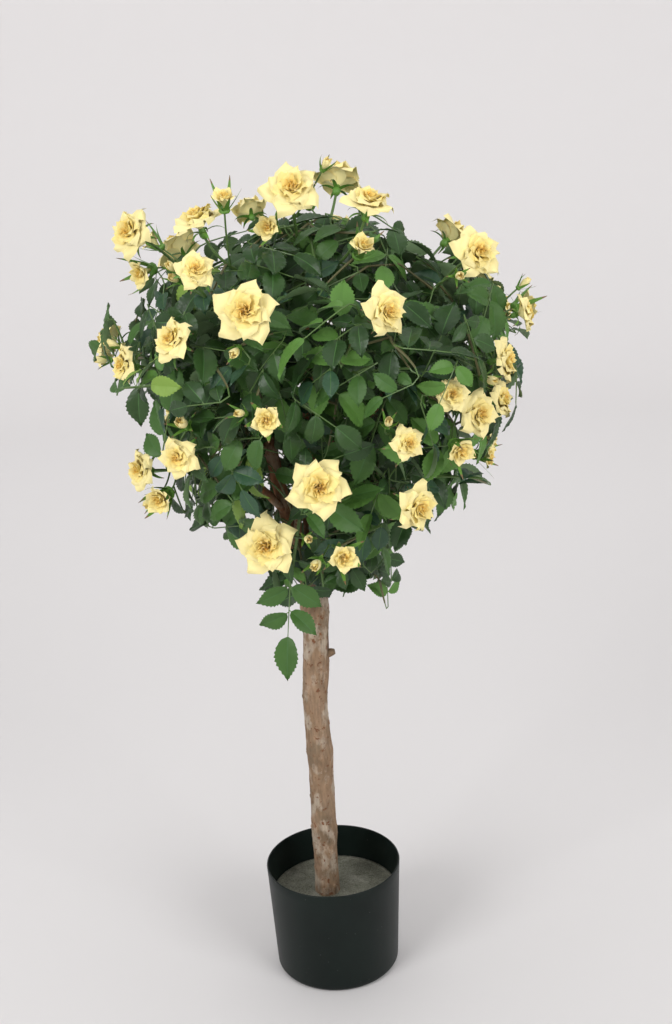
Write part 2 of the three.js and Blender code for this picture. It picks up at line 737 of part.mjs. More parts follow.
// The leaf that grows at a site, without the leaflets that would break a rule. A leaf that crosses another of
// its mass, or keeps fewer than two leaflets, doesn't grow.
function leafAt(site, mass, bearing, scale, seed) {
  const line = leafLine(mass, site, bearing, scale, seeded(seed));
  if (line.petiole.getLength() + line.reach > LEAF.longest) return null;
  const rachis = new THREE.LineCurve3(line.petiole.v2, ontoLeaf(line, new THREE.Vector3(line.reach, 0, 0)));
  if (!mayGrow([...polyline(line.petiole, 16).slice(1), ...polyline(rachis)], mass)) return null;
  const kept = LEAFLETS.filter((row) => {
    const points = samples(line, row);
    return mayGrow(points, mass) && clearOfStems(points, mass);
  });
  if (kept.length < 2) return null;
  const shape = blade(line, kept);
  const solid = solidOf(shape).add(solidOf(petiole(line)));
  const box = new THREE.Box3().setFromBufferAttribute(shape.attributes.position);
  const meets = (other) => other.box.intersectsBox(box) && !other.solid.intersect(solid).isEmpty();
  return mass.leaves.some(meets) ? null : { solid, box, leaflets: kept.length };
}

// Each site belongs to the mass that is nearest. Of six bearings it takes the one that lets most leaflets
// grow.
const TURNS = [0, 60, -60, 120, -120, 180];

function growLeaves() {
  for (const mass of masses) mass.leaves = [];
  for (let i = 0; i < SITES; i++) {
    const site = siteOf(i);
    const mass = masses.reduce((a, b) => (distanceToMass(site, a) < distanceToMass(site, b) ? a : b));
    const first = 70 * Math.sin(i * 2.4);
    for (const scale of LEAF_SCALES) {
      const choices = TURNS.map((turn) => leafAt(site, mass, first + turn, scale, i + 1));
      const [best] = choices.filter(Boolean).sort((a, b) => b.leaflets - a.leaflets);
      if (!best) continue;
      mass.leaves.push(best);
      break;
    }
  }
}

// A mass: a knuckle where its sprays fork, with a corner towards the limb's tip, their stems and stalks, the
// blooms and the leaves, in one piece.
function growMass(mass) {
  const { tip, way } = mass.carrier;
  const middle = tip.clone().addScaledVector(way, KNUCKLE.radius + CLEAR);
  const knuckle = closed(new THREE.OctahedronGeometry(KNUCKLE.radius)).applyQuaternion(turnTo(way));
  const pieces = [knuckle.translate(middle.x, middle.y, middle.z)];
  for (const { stem, stalks, heads } of mass.sprays) {
    pieces.push(tube(stem, tapering(STEM), 3, STEM.steps));
    pieces.push(...stalks.map((stalk) => tube(stalk, tapering(STALK), 3, STALK.steps)));
    pieces.push(...heads.map((head) => (head.size < BUD_SIZE ? bud(head) : rose(head))));
  }
  return wasm.Manifold.union([...pieces.map(solidOf), ...mass.leaves.map(({ solid }) => solid)]);
}

// ---- The assembly ---------------------------------------------------------------------------------------

const rosebush = new THREE.Group();
rosebush.add(meshOf("pot", solidOf(pot()), PLASTIC));
rosebush.add(meshOf("cement", solidOf(cement()), CEMENT));
for (const mesh of limbMeshes()) rosebush.add(mesh);
growLeaves();
for (const mass of masses) rosebush.add(meshOf(mass.name, growMass(mass), FOLIAGE));

export default rosebush;
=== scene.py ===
import math

import bmesh
import bpy
import numpy as np
from mathutils import Matrix, Vector, noise


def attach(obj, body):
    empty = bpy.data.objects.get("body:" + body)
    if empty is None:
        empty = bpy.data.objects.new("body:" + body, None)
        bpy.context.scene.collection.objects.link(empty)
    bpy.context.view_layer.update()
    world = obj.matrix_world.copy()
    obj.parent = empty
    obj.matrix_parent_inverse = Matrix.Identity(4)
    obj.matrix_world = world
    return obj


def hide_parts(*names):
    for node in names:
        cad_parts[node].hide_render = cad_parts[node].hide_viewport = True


# An artificial standard rose bush: natural wood stem and boughs, wired sprays of cloth leaves and roses, in a plastic
# pot of cement. Shapes are worked out in millimetres and laid down in metres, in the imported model's frame: +Z is up,
# the front is -Y, and the origin is the middle of the pot's underside.

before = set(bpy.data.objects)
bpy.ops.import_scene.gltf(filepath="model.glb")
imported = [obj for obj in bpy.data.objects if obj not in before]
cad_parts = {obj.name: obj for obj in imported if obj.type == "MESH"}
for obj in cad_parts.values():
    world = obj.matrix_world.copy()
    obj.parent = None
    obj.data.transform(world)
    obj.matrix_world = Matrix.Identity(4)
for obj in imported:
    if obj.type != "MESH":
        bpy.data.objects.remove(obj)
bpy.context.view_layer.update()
MM = 0.001

# ---- Sizes, as in the part's source ----

POT = {"height": 123, "rim_radius": 72.5, "base_radius": 66.5, "wall": 1.8, "floor": 3, "edge": 7}
FILL_TOP = 84
FILL_GAP = 0.3  # between the fill and the pot
TRUNK = {"foot_radius": 13, "tip_radius": 13.5}
TRUNK_POINTS = [(-8, 0, 78), (-8, 0, 84.3), (-7.5, 1, 170), (-7, 2, 245), (-9, 1, 312), (-5, 0, 375), (-3, 0, 458)]
KNOT = {"height": 366, "length": 19, "foot_radius": 7, "tip_radius": 3.6, "lift": 5}
BOUGH = {"foot_radius": 9, "tip_radius": 5.5}
BRANCH = {"foot_radius": 4.6, "tip_radius": 3}
# The outline that the leaves fill, under the blooms: heights, and how far the leaves reach there.
LEAFY = [(430, 50), (468, 74), (500, 104), (545, 152), (610, 190), (700, 212), (750, 190), (784, 134), (813, 55)]
CROWN_MIDDLE = np.array([14.0, 0.0, 650.0])
BUD_SIZE = 30  # a bloom under this is a bud or half open
UP = np.array([0.0, 0.0, 1.0])

BOUGHS = [  # name, azimuth, reach and height of its tip, and how far out it is at half its height
    ("left", -78, 46, 642, 0.62),
    ("right", 68, 52, 632, 0.42),
    ("back", 178, 48, 636, 0.5),
]
BRANCHES = [  # name, its bough, where it leaves it, and azimuth, reach and height of its tip
    ("left_middle", 0, 0.7, -84, 106, 668),
    ("left_low", 0, 0.42, -56, 92, 584),
    ("front_low", 0, 0.25, -8, 72, 552),
    ("back_left", 0, 0.58, -142, 96, 648),
    ("front_high", 1, 0.7, 0, 86, 694),
    ("right_middle", 1, 0.78, 56, 116, 664),
    ("right_low", 1, 0.4, 44, 92, 572),
    ("back_right", 1, 0.58, 118, 98, 640),
    ("back_middle", 2, 0.64, 174, 104, 664),
    ("back_low", 2, 0.4, 184, 92, 570),
    ("top", 2, 0.8, 20, 14, 752),
]
# The sprays on each bough and branch: where the lead bloom stands (azimuth, reach, height), where it looks (azimuth,
# tilt) and the blooms, each a diameter and a clock angle round the lead bloom. One without blooms bears leaves.
SPRAYS = {
    "left": [
        ((-85, 158, 812), (-40, 25), [(48, 0), (27, 190)]),
        ((-34, 197, 738), (-42, 30), [(40, 0)]),
    ],
    "left_middle": [
        ((-56, 194, 706), (-62, 12), [(38, 0), (14, 300)]),
        ((-101, 200, 700), (-104, 18), [(46, 0), (14, 110)]),
    ],
    "left_low": [
        ((-37, 190, 630), (-20, 5), [(38, 0), (18, 10)]),
        ((-61, 181, 602), (-50, 12), [(38, 0), (28, 130), (16, 160)]),
        ((-92, 178, 570), (-95, -10), []),
    ],
    "front_low": [
        ((-16, 152, 541), (-12, 12), [(56, 0), (13, 80)]),
        ((3, 190, 608), (5, 14), [(54, 0)]),
        ((11, 150, 526), (12, 5), [(27, 0), (17, 262)]),
        ((-16, 104, 462), (-20, -55), []),
    ],
    "back_left": [
        ((-135, 182, 776), (-135, 30), [(50, 0), (22, 70)]),
        ((-128, 182, 596), (-125, 6), [(48, 0), (16, 290)]),
    ],
    "right": [
        ((59, 188, 789), (30, 25), [(48, 0), (13, 240)]),
        ((104, 204, 716), (106, 20), [(42, 0), (30, 60)]),
    ],
    "front_high": [
        ((-30, 170, 794), (10, 35), [(36, 0), (12, 270), (12, 250)]),
        ((-13, 193, 763), (-5, 22), [(54, 0), (14, 200)]),
        ((22, 200, 757), (38, 12), [(44, 0)]),
        ((-9, 202, 672), (0, 10), [(26, 0), (13, 285)]),
        ((16, 176, 700), (14, 0), []),
    ],
    "right_middle": [
        ((72, 218, 728), (88, 15), [(34, 0), (24, 85), (12, 25)]),
        ((60, 212, 693), (70, 10), [(40, 0), (14, 245)]),
        ((49, 206, 652), (35, 12), [(43, 0), (34, 305), (37, 85), (26, 215)]),
        ((26, 202, 641), (32, 15), [(32, 0), (13, 320)]),
    ],
    "right_low": [
        ((33, 180, 572), (45, 0), [(47, 0)]),
        ((60, 186, 578), (70, -5), []),
        ((92, 180, 592), (98, 5), [(40, 0), (24, 250)]),
    ],
    "back_right": [
        ((120, 184, 782), (120, 30), [(48, 0), (14, 250)]),
        ((124, 196, 610), (124, 6), [(46, 0), (28, 100)]),
    ],
    "back": [
        ((165, 186, 778), (162, 28), [(44, 0), (26, 100)]),
        ((-160, 150, 812), (-160, 40), [(38, 0)]),
    ],
    "back_middle": [
        ((148, 206, 672), (148, 10), [(52, 0)]),
        ((-162, 204, 690), (-160, 14), [(40, 0), (26, 80), (14, 30)]),
    ],
    "back_low": [
        ((158, 176, 574), (155, 4), [(46, 0), (24, 100)]),
        ((-165, 178, 584), (-162, 4), [(44, 0)]),
        ((-178, 128, 516), (-178, -20), [(36, 0)]),
    ],
    "top": [
        ((-1, 87, 852), (0, 38), [(52, 0), (24, 215), (13, 60)]),
        ((-46, 120, 831), (-60, 72), [(46, 0), (22, 60)]),
        ((34, 118, 840), (40, 70), [(46, 0), (24, 185)]),
        ((150, 86, 846), (165, 50), [(50, 0), (24, 120)]),
    ],
}
# The masses that are joined in one piece of each kind, by the side of the crown that they stand on.
SIDES = {
    "front": ["front_low", "front_high"],
    "left": ["left", "left_middle", "left_low"],
    "right": ["right", "right_middle", "right_low"],
    "back": ["back", "back_left", "back_right", "back_middle", "back_low"],
    "top": ["top"],
}


# ---- Finishes ----


def linear(colour):
    """An sRGB hex colour as Blender's linear one."""
    channels = [int(colour[i : i + 2], 16) / 255 for i in (1, 3, 5)]
    return tuple(c / 12.92 if c <= 0.04045 else ((c + 0.055) / 1.055) ** 2.4 for c in channels) + (1.0,)


def add(tree, kind, inputs=None, **settings):
    """Adds a node with its settings. An input is a value or another node's output."""
    made = tree.nodes.new(kind)
    for name, value in settings.items():
        setattr(made, name, value)
    for socket, value in (inputs or {}).items():
        if isinstance(value, bpy.types.NodeSocket):
            tree.links.new(value, made.inputs[socket])
        else:
            made.inputs[socket].default_value = value
    return made


def finish(name, colour, roughness, **values):
    """A material on the Principled shader, that shader, the node tree and a place on the object."""
    material = bpy.data.materials.new(name)
    material.use_nodes = True
    shader = material.node_tree.nodes["Principled BSDF"]
    shader.inputs["Base Color"].default_value = linear(colour)
    shader.inputs["Roughness"].default_value = roughness
    for socket, value in values.items():
        shader.inputs[socket.replace("_", " ")].default_value = value
    tree = material.node_tree
    return material, shader, tree, add(tree, "ShaderNodeTexCoord").outputs["Object"]


def mottle(tree, place, size_mm, stops, detail=5.0, stretch=(1, 1, 1)):
    """Colours from a noise whose patches are size_mm across, with stops of (position, colour)."""
    laid = add(tree, "ShaderNodeMapping", {"Vector": place, "Scale": stretch})
    settings = {"Vector": laid.outputs["Vector"], "Scale": 1 / (size_mm * MM), "Detail": detail, "Roughness": 0.6}
    patches = add(tree, "ShaderNodeTexNoise", settings)
    ramp = add(tree, "ShaderNodeValToRGB", {"Fac": patches.outputs["Fac"]})
    while len(ramp.color_ramp.elements) < len(stops):
        ramp.color_ramp.elements.new(0.5)
    for element, (position, colour) in zip(ramp.color_ramp.elements, stops):
        element.position, element.color = position, linear(colour)
    return ramp.outputs["Color"], patches.outputs["Fac"]


def layered(tree, ground, *coats):
    """The ground's colour with coats laid over it in turn, each a share, a colour and how they mix."""
    for share, colour, mode in coats:
        inputs = {0: share, 6: ground, 7: colour}  # the colours' sockets have no names of their own
        ground = add(tree, "ShaderNodeMix", inputs, data_type="RGBA", blend_type=mode).outputs[2]
    return ground


def surface(tree, shader, height, depth_mm, strength, colour=None):
    """Gives the shader a relief from a height, and its colours where they form a pattern."""
    relief = add(tree, "ShaderNodeBump", {"Height": height, "Strength": strength, "Distance": depth_mm * MM})
    tree.links.new(relief.outputs["Normal"], shader.inputs["Normal"])
    if colour is not None:
        tree.links.new(colour, shader.inputs["Base Color"])


def pot_plastic():
    # Injection-moulded polypropylene, dyed green-black: an even satin gloss, a faint orange peel and specks of dust.
    material, shader, tree, place = finish("moulded_polypropylene", "#08120f", 0.44, Specular_IOR_Level=0.24, IOR=1.49)
    tone, _ = mottle(tree, place, 60, [(0.35, "#06100d"), (0.7, "#0c1814")])
    specks = add(tree, "ShaderNodeTexVoronoi", {"Vector": place, "Scale": 1 / (9 * MM)})
    speck = {"Value": specks.outputs["Distance"], "From Min": 0.035, "From Max": 0.06, "To Min": 0.5, "To Max": 0.0}
    dust = add(tree, "ShaderNodeMapRange", speck)
    colour = layered(tree, tone, (dust.outputs["Result"], linear("#6d716b"), "MIX"))
    peel = add(tree, "ShaderNodeTexNoise", {"Vector": place, "Scale": 1 / (2.2 * MM), "Detail": 2.0})
    surface(tree, shader, peel.outputs["Fac"], 0.05, 0.5, colour)
    return material


def cement():
    # Cast cement, trowelled and dusty: rough, grey, with sand grains and greenish damp patches.
    material, shader, tree, place = finish("cast_cement", "#84827a", 0.92)
    patches, _ = mottle(tree, place, 28, [(0.3, "#34382b"), (0.5, "#5c5e4f"), (0.7, "#96958a")])
    sand, height = mottle(tree, place, 1.6, [(0.35, "#44473a"), (0.62, "#8d8b80")], detail=3.0)
    surface(tree, shader, height, 0.5, 0.8, layered(tree, patches, (0.45, sand, "MIX")))
    return material


def bark(name, tones, patches, lichen, smoke):
    # Dried bark of a young stem: matt, mottled along the grain, with paler scuffs and rusty spots.
    material, shader, tree, place = finish(name, tones[1], 0.82)
    ground, _ = mottle(tree, place, 26, list(zip((0.3, 0.5, 0.7), tones)), stretch=(1, 1, 0.45))
    scuffs, _ = mottle(tree, place, 15, [(0.5, "#000000"), (0.62, "#ffffff")], stretch=(1, 1, 0.6))
    spots, _ = mottle(tree, place, 5, [(0.6, "#000000"), (0.68, "#ffffff")], detail=2.0)
    smudges, _ = mottle(tree, place, 33, [(0.48, "#000000"), (0.66, "#b0b0b0")], detail=4.0)
    fibres, height = mottle(tree, place, 3, [(0.3, "#8d8d8d"), (0.7, "#ffffff")], stretch=(1, 1, 0.18))
    marks = [(smudges, linear(smoke), "MIX"), (scuffs, linear(patches), "MIX"), (spots, linear(lichen), "MIX")]
    surface(tree, shader, height, 0.7, 0.9, layered(tree, ground, *marks, (0.55, fibres, "MULTIPLY")))
    return material


def cloth(name, colour, roughness, weave_mm=0.5, depth_mm=0.03, **values):
    # Printed polyester satin, heat-pressed to shape: one dyed colour, a soft sheen and a fine weave.
    material, shader, tree, place = finish(name, colour, roughness, **values)
    threads = add(tree, "ShaderNodeTexNoise", {"Vector": place, "Scale": 1 / (weave_mm * MM), "Detail": 1.0})
    surface(tree, shader, threads.outputs["Fac"], depth_mm, 0.6)
    return material


BARK_TRUNK = bark("dried_stem_bark", ("#66513c", "#95795d", "#a98c72"), "#b5a591", "#7a4d2f", "#5f5b49")
BARK_BOUGH = bark("dried_bough_bark", ("#73492f", "#9f6b46", "#b08560"), "#b4977c", "#a8683c", "#5e4636")
POT_PLASTIC = pot_plastic()
CEMENT = cement()
LEAF_WEAVE = 2.2  # millimetres, coarser than the real half millimetre, so that it shows
# Greens are dealt out by compound leaf, from the usual dark ones to the young shoots' yellow-green.
GREENS = [
    cloth(f"satin_leaf_{name}", colour, roughness, LEAF_WEAVE, 0.3, Specular_IOR_Level=gloss)
    for name, colour, roughness, gloss in (
        ("bottle_green", "#26431c", 0.4, 0.42),
        ("dark_green", "#2f4e20", 0.42, 0.4),
        ("blue_green", "#2f4f36", 0.42, 0.4),
        ("green", "#40642b", 0.5, 0.35),
        ("fresh_green", "#578138", 0.52, 0.35),
        ("young_green", "#7b9a42", 0.52, 0.35),
    )
]
GREEN_SHARES = [0.26, 0.52, 0.66, 0.88, 0.97, 1.0]  # of the leaves, each with those before it
FIRST_YOUNG = 4  # from this green on, the midrib has the leaf's own colour
MIDRIB = cloth("satin_leaf_midrib", "#446a37", 0.5, LEAF_WEAVE, 0.1, Specular_IOR_Level=0.35)
UNDERSIDE = cloth("satin_leaf_underside", "#6b855c", 0.7, LEAF_WEAVE, 0.3)
WIRE = cloth("coated_wire_green", "#55713a", 0.45, 1.5, 0.08)  # plastic-coated wire: smooth, olive green
TWIG = cloth("coated_wire_brown_green", "#5d5b38", 0.55, 1.5, 0.1)
TAPE = cloth("florist_tape", "#4a4a30", 0.7, 1.2, 0.15)  # crepe tape, wound round the joint
CALYX = cloth("moulded_calyx_green", "#5f8c35", 0.5)
SEPAL_TIP = cloth("dyed_sepal_brown", "#7c6546", 0.6)
STEM_MATERIALS = [WIRE, CALYX, SEPAL_TIP, TAPE, TWIG]
WIRE_NUMBER, CALYX_NUMBER, TIP_NUMBER, TAPE_NUMBER, TWIG_NUMBER = range(5)
PETALS = [  # from the outside to the heart
    cloth(f"petal_cloth_{name}", colour, 0.75, Sheen_Weight=0.2)
    for name, colour in (("cream", "#f8eaa6"), ("lemon", "#f8e592"), ("yellow", "#f9dd80"), ("deep_yellow", "#f8cf62"))
]


# ---- Directions, lines and draws ----


def unit(v):
    return v / max(np.linalg.norm(v), 1e-9)


def towards(azimuth, tilt=0.0):
    """The way out from the middle, with azimuth 0 at the front and 90 at the right, tilted up."""
    a, e = math.radians(azimuth), math.radians(tilt)
    return np.array([math.sin(a) * math.cos(e), -math.cos(a) * math.cos(e), math.sin(e)])


def place_at(azimuth, reach, height):
    return towards(azimuth) * reach + UP * height


def across(direction):
    """A level direction at right angles to this one."""
    side = np.cross(UP, direction)
    return np.array([1.0, 0.0, 0.0]) if side @ side < 1e-6 else unit(side)


def seeded(seed):
    """The source's own draw: a Lehmer generator, from 0 to 1."""
    modulus = 2**31 - 1
    state = (seed * 7919 + 17) % modulus

    def draw():
        nonlocal state
        state = state * 48271 % modulus
        return state / modulus

    draw()
    return draw


def bezier(start, control, end, steps):
    t = np.linspace(0, 1, steps + 1)[:, None]
    return (1 - t) ** 2 * start + 2 * t * (1 - t) * control + t**2 * end


def through(points, steps=24):
    """A centripetal Catmull-Rom line through the points, as in the source."""
    points = [np.array(p, float) for p in points]
    ends = [2 * points[0] - points[1]] + points + [2 * points[-1] - points[-2]]
    line = []
    for a, b, c, d in zip(ends, ends[1:], ends[2:], ends[3:]):
        ab, bc, cd = (max(np.linalg.norm(q - p) ** 0.5, 1e-4) for p, q in ((a, b), (b, c), (c, d)))
        leave = ((b - a) / ab - (c - a) / (ab + bc) + (c - b) / bc) * bc
        arrive = ((c - b) / bc - (d - b) / (bc + cd) + (d - c) / cd) * bc
        t = np.arange(steps)[:, None] / steps
        square, cube = 3 * (c - b) - 2 * leave - arrive, 2 * (b - c) + leave + arrive
        line.append(b + leave * t + square * t**2 + cube * t**3)
    return np.vstack(line + [points[-1]])


def even(line, steps):
    """The line again, as steps runs of equal length."""
    lengths = np.r_[0, np.cumsum(np.linalg.norm(np.diff(line, axis=0), axis=1))]
    at = np.linspace(0, lengths[-1], steps + 1)
    return np.stack([np.interp(at, lengths, line[:, k]) for k in range(3)], axis=1)


def carried(line):
    """For each point of a line, its tangent and two directions across it that don't twist on the way."""
    tangents = np.gradient(line, axis=0)
    tangents /= np.linalg.norm(tangents, axis=1)[:, None]
    first = across(tangents[0])
    sides = []
    for tangent in tangents:
        first = unit(first - tangent * (first @ tangent))
        sides.append(first)
    sides = np.array(sides)
    return tangents, sides, np.cross(tangents, sides)


# ---- Meshes ----


def arrays(bm):
    """A bmesh as points, triangles and the material number of each triangle."""
    bmesh.ops.triangulate(bm, faces=bm.faces[:])
    bm.verts.index_update()
    points = np.array([v.co for v in bm.verts])
    faces = np.array([[v.index for v in f.verts] for f in bm.faces])
    slots = np.array([f.material_index for f in bm.faces])
    bm.free()
    return points, faces, slots


def put(name, data):
    made = bpy.data.objects.new(name, data)
    bpy.context.scene.collection.objects.link(made)
    return made


def smooth_object(mesh, materials):
    for material in materials:
        mesh.materials.append(material)
    mesh.polygons.foreach_set("use_smooth", [True] * len(mesh.polygons))
    return put(mesh.name, mesh)


def in_metres(bm, name):
    """A bmesh in millimetres as a mesh in metres."""
    bmesh.ops.scale(bm, vec=Vector((MM,) * 3), verts=bm.verts[:])
    mesh = bpy.data.meshes.new(name)
    bm.to_mesh(mesh)
    bm.free()
    return mesh


def make_piece(mesh, materials, nodes):
    """Makes a mesh a piece of the object that stands for the CAD nodes."""
    made = smooth_object(mesh, materials)
    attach(made, "root")
    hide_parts(*nodes)


class Pile:
    """Many small shapes, joined in one mesh from arrays."""

    def __init__(self):
        self.points, self.faces, self.slots, self.count = [], [], [], 0

    def add(self, points, faces, slots):
        self.points.append(points)
        self.faces.append(faces + self.count)
        self.slots.append(np.broadcast_to(slots, len(faces)))
        self.count += len(points)

    def lay_down(self, name, materials, nodes):
        points, faces = np.vstack(self.points) * MM, np.vstack(self.faces)
        mesh = bpy.data.meshes.new(name)
        mesh.vertices.add(len(points))
        mesh.vertices.foreach_set("co", points.ravel())
        mesh.loops.add(faces.size)
        mesh.loops.foreach_set("vertex_index", faces.ravel())
        mesh.polygons.add(len(faces))
        mesh.polygons.foreach_set("loop_start", np.arange(0, faces.size, 3))
        mesh.update(calc_edges=True)
        make_piece(mesh, materials, nodes)
        mesh.polygons.foreach_set("material_index", np.concatenate(self.slots).astype(np.int32))
        mesh.set_sharp_from_angle(angle=math.radians(60))  # so that a thin sheet's rim isn't shaded round


def round_bar(sides, steps):
    """A bar along Z from 0 to 1 with a radius of 1, closed at both ends, to be bent onto lines."""
    bm = bmesh.new()
    bmesh.ops.create_grid(bm, x_segments=sides, y_segments=steps, size=0.5)
    for v in bm.verts:
        turn = (v.co.x + 0.5) * 2 * math.pi
        v.co = Vector((math.cos(turn), math.sin(turn), v.co.y + 0.5))
    bmesh.ops.remove_doubles(bm, verts=bm.verts[:], dist=1e-5)
    bmesh.ops.holes_fill(bm, edges=[e for e in bm.edges if e.is_boundary], sides=0)
    bmesh.ops.recalc_face_normals(bm, faces=bm.faces[:])
    return bm


def bend_bar(points, line, radii):
    """A bar's points, bent onto a line of as many runs as the bar has, with a radius for each point of it."""
    _, side, other = carried(line)
    at = np.rint(points[:, 2] * (len(line) - 1)).astype(int)
    radius = np.asarray(radii)[at][:, None]
    return line[at] + radius * (points[:, :1] * side[at] + points[:, 1:2] * other[at])


def shell(across_runs, along_runs):
    """A thin closed sheet: x across from -1 to 1, y along from 0 to 1, and z 1 on its face and -1 on its back."""
    bm = bmesh.new()
    bmesh.ops.create_grid(bm, x_segments=across_runs, y_segments=along_runs, size=1)
    back = bmesh.ops.duplicate(bm, geom=bm.verts[:] + bm.edges[:] + bm.faces[:])["geom"]
    back_faces = [g for g in back if isinstance(g, bmesh.types.BMFace)]
    back_verts = {g for g in back if isinstance(g, bmesh.types.BMVert)}
    bmesh.ops.reverse_faces(bm, faces=back_faces)
    for v in bm.verts:
        side = -1 if v in back_verts else 1
        v.co = Vector((v.co.x, (v.co.y + 1) / 2, 0 if v.is_boundary else side))
    bmesh.ops.remove_doubles(bm, verts=bm.verts[:], dist=1e-5)
    # Split the corners towards the middle, so that no triangle of the face lies on one of the back.
    bmesh.ops.triangulate(bm, faces=bm.faces[:], quad_method="LONG_EDGE")
    return bm


# ---- Pot and cement ----


def pot_radius(height):
    return POT["base_radius"] + (POT["rim_radius"] - POT["base_radius"]) * height / POT["height"]


def arc(centre, radius, start, end, steps):
    """The points of a round corner, between two angles in degrees."""
    turns = np.radians(np.linspace(start, end, steps + 1))
    return [(centre[0] + radius * math.cos(turn), centre[1] + radius * math.sin(turn)) for turn in turns]


def spun(profile, steps=128):
    """A profile of (radius, height) points turned about the upright axis."""
    bm = bmesh.new()
    verts = [bm.verts.new((radius, 0, height)) for radius, height in profile]
    edges = [bm.edges.new(pair) for pair in zip(verts, verts[1:])]
    turn = {"cent": (0, 0, 0), "axis": (0, 0, 1), "angle": 2 * math.pi}
    bmesh.ops.spin(bm, geom=verts + edges, steps=steps, use_merge=True, **turn)
    bmesh.ops.remove_doubles(bm, verts=bm.verts[:], dist=1e-4)
    bmesh.ops.recalc_face_normals(bm, faces=bm.faces[:])
    return bm


def make_pot():
    edge, wall, height, floor = POT["edge"], POT["wall"], POT["height"], POT["floor"]
    heights = (30, 60, 90, 112)  # between the rounded foot and the rim
    foot = arc((pot_radius(edge) - edge, edge), edge, -90, 0, 8)
    rim = arc((pot_radius(height) - wall / 2, height - wall / 2), wall / 2, 0, 180, 6)
    sides = [(pot_radius(z), z) for z in heights]
    inside = [(pot_radius(z) - wall, z) for z in (*heights[::-1], floor + edge)]
    bottom = [(inside[-1][0] - edge, floor), (0, floor)]
    bm = spun([(0, 0)] + foot + sides + rim + inside + bottom)
    make_piece(in_metres(bm, "moulded_pot"), [POT_PLASTIC], ["pot"])


def make_cement():
    """The fill, with a trowelled top that creeps up the stem and the pot's wall."""
    stem_run, stem_rise, wall_run, wall_rise = 9, 2.2, 6, 1.2
    rings, stem = 28, TRUNK_POINTS[0]
    wall = pot_radius(FILL_TOP) - POT["wall"] - FILL_GAP
    top = [(wall * i / rings, FILL_TOP) for i in range(rings + 1)]
    shoulder, floor = POT["floor"] + POT["edge"], POT["floor"] + FILL_GAP
    low = pot_radius(shoulder) - POT["wall"] - FILL_GAP
    bm = spun(top + [(low, shoulder + FILL_GAP), (low - POT["edge"] - FILL_GAP, floor), (0, floor)], 112)
    for v in bm.verts:
        if v.co.z > FILL_TOP - 0.1:
            trowelled = 1.6 * noise.fractal(v.co / 22, 1, 2, 3) + 0.5 * noise.noise(v.co / 4)
            off_stem = math.hypot(v.co.x - stem[0], v.co.y - stem[1]) - TRUNK["foot_radius"]
            at_stem = max(0.0, 1 - off_stem / stem_run)
            at_wall = max(0.0, (math.hypot(v.co.x, v.co.y) - wall + wall_run) / wall_run)
            v.co.z += trowelled * (1 - 0.7 * at_wall) + stem_rise * at_stem**2 + wall_rise * at_wall**2
    make_piece(in_metres(bm, "cast_fill"), [CEMENT], ["cement"])


# ---- Trunk, boughs and branches with their bark ----


def bark_relief(point, radius):
    """How far the bark stands out here, in millimetres: long swells, creases along the grain and small warts."""
    along = Vector((point.x / 9, point.y / 9, point.z / 34))  # stretched, as the creases are
    swell = noise.fractal(along, 1, 2, 3) * 0.07 * radius
    crease = abs(noise.noise(Vector((point.x / 3.2, point.y / 3.2, point.z / 16)))) * 0.05 * radius
    wart = max(0.0, noise.noise(point / 6.5) - 0.42) * 0.28 * radius
    return swell - crease + wart


def make_limb(name, line, radius_at, sides, run_mm, material, nodes, rounded=0.8):
    """A limb with the bark's relief, bent onto its line. The last three rings round its tip over."""
    steps = int(np.linalg.norm(np.diff(line, axis=0), axis=1).sum() / run_mm)
    line = even(line, steps)
    shares = np.linspace(0, 1, steps + 1)
    radii = np.array([radius_at(share) for share in shares])
    for k, share in enumerate((0.98, 0.9, rounded)):
        radii[steps - 2 + k] *= share
    bm = round_bar(sides, steps)
    points = bend_bar(np.array([v.co for v in bm.verts]), line, radii)
    at = np.rint([v.co.z * steps for v in bm.verts]).astype(int)
    for v, point, k in zip(bm.verts, points, at):
        v.co = Vector(point)
        out = v.co - Vector(line[k])
        if out.length > 1e-6:
            v.co += out.normalized() * bark_relief(v.co, radii[k])
    make_piece(in_metres(bm, name), [material], nodes)


def tapering(sizes):
    return lambda share: sizes["foot_radius"] + (sizes["tip_radius"] - sizes["foot_radius"]) * share


def make_trunk():
    knees = [(0.22, 0.6), (0.47, 0.9), (0.72, 0.7), (0.9, 1.2)]  # where old side shoots were cut, and the fork
    knee_run, flare, flare_run = 0.035, 1.2, 0.03

    def radius_at(share):
        swelling = sum(rise * math.exp(-(((share - at) / knee_run) ** 2)) for at, rise in knees)
        return tapering(TRUNK)(share) + swelling + flare * math.exp(-share / flare_run)

    make_limb("bark_trunk", through(TRUNK_POINTS), radius_at, 72, 2.2, BARK_TRUNK, ["trunk"], 0.86)
    start = np.array([TRUNK_POINTS[-2][0], 0, KNOT["height"]])
    end = start + np.array([KNOT["length"], -2.0, KNOT["lift"]])
    stub = np.array([start, (start + end) / 2, end])
    make_limb("bark_knot", stub, tapering(KNOT), 28, 1.2, BARK_TRUNK, ["trunk"])


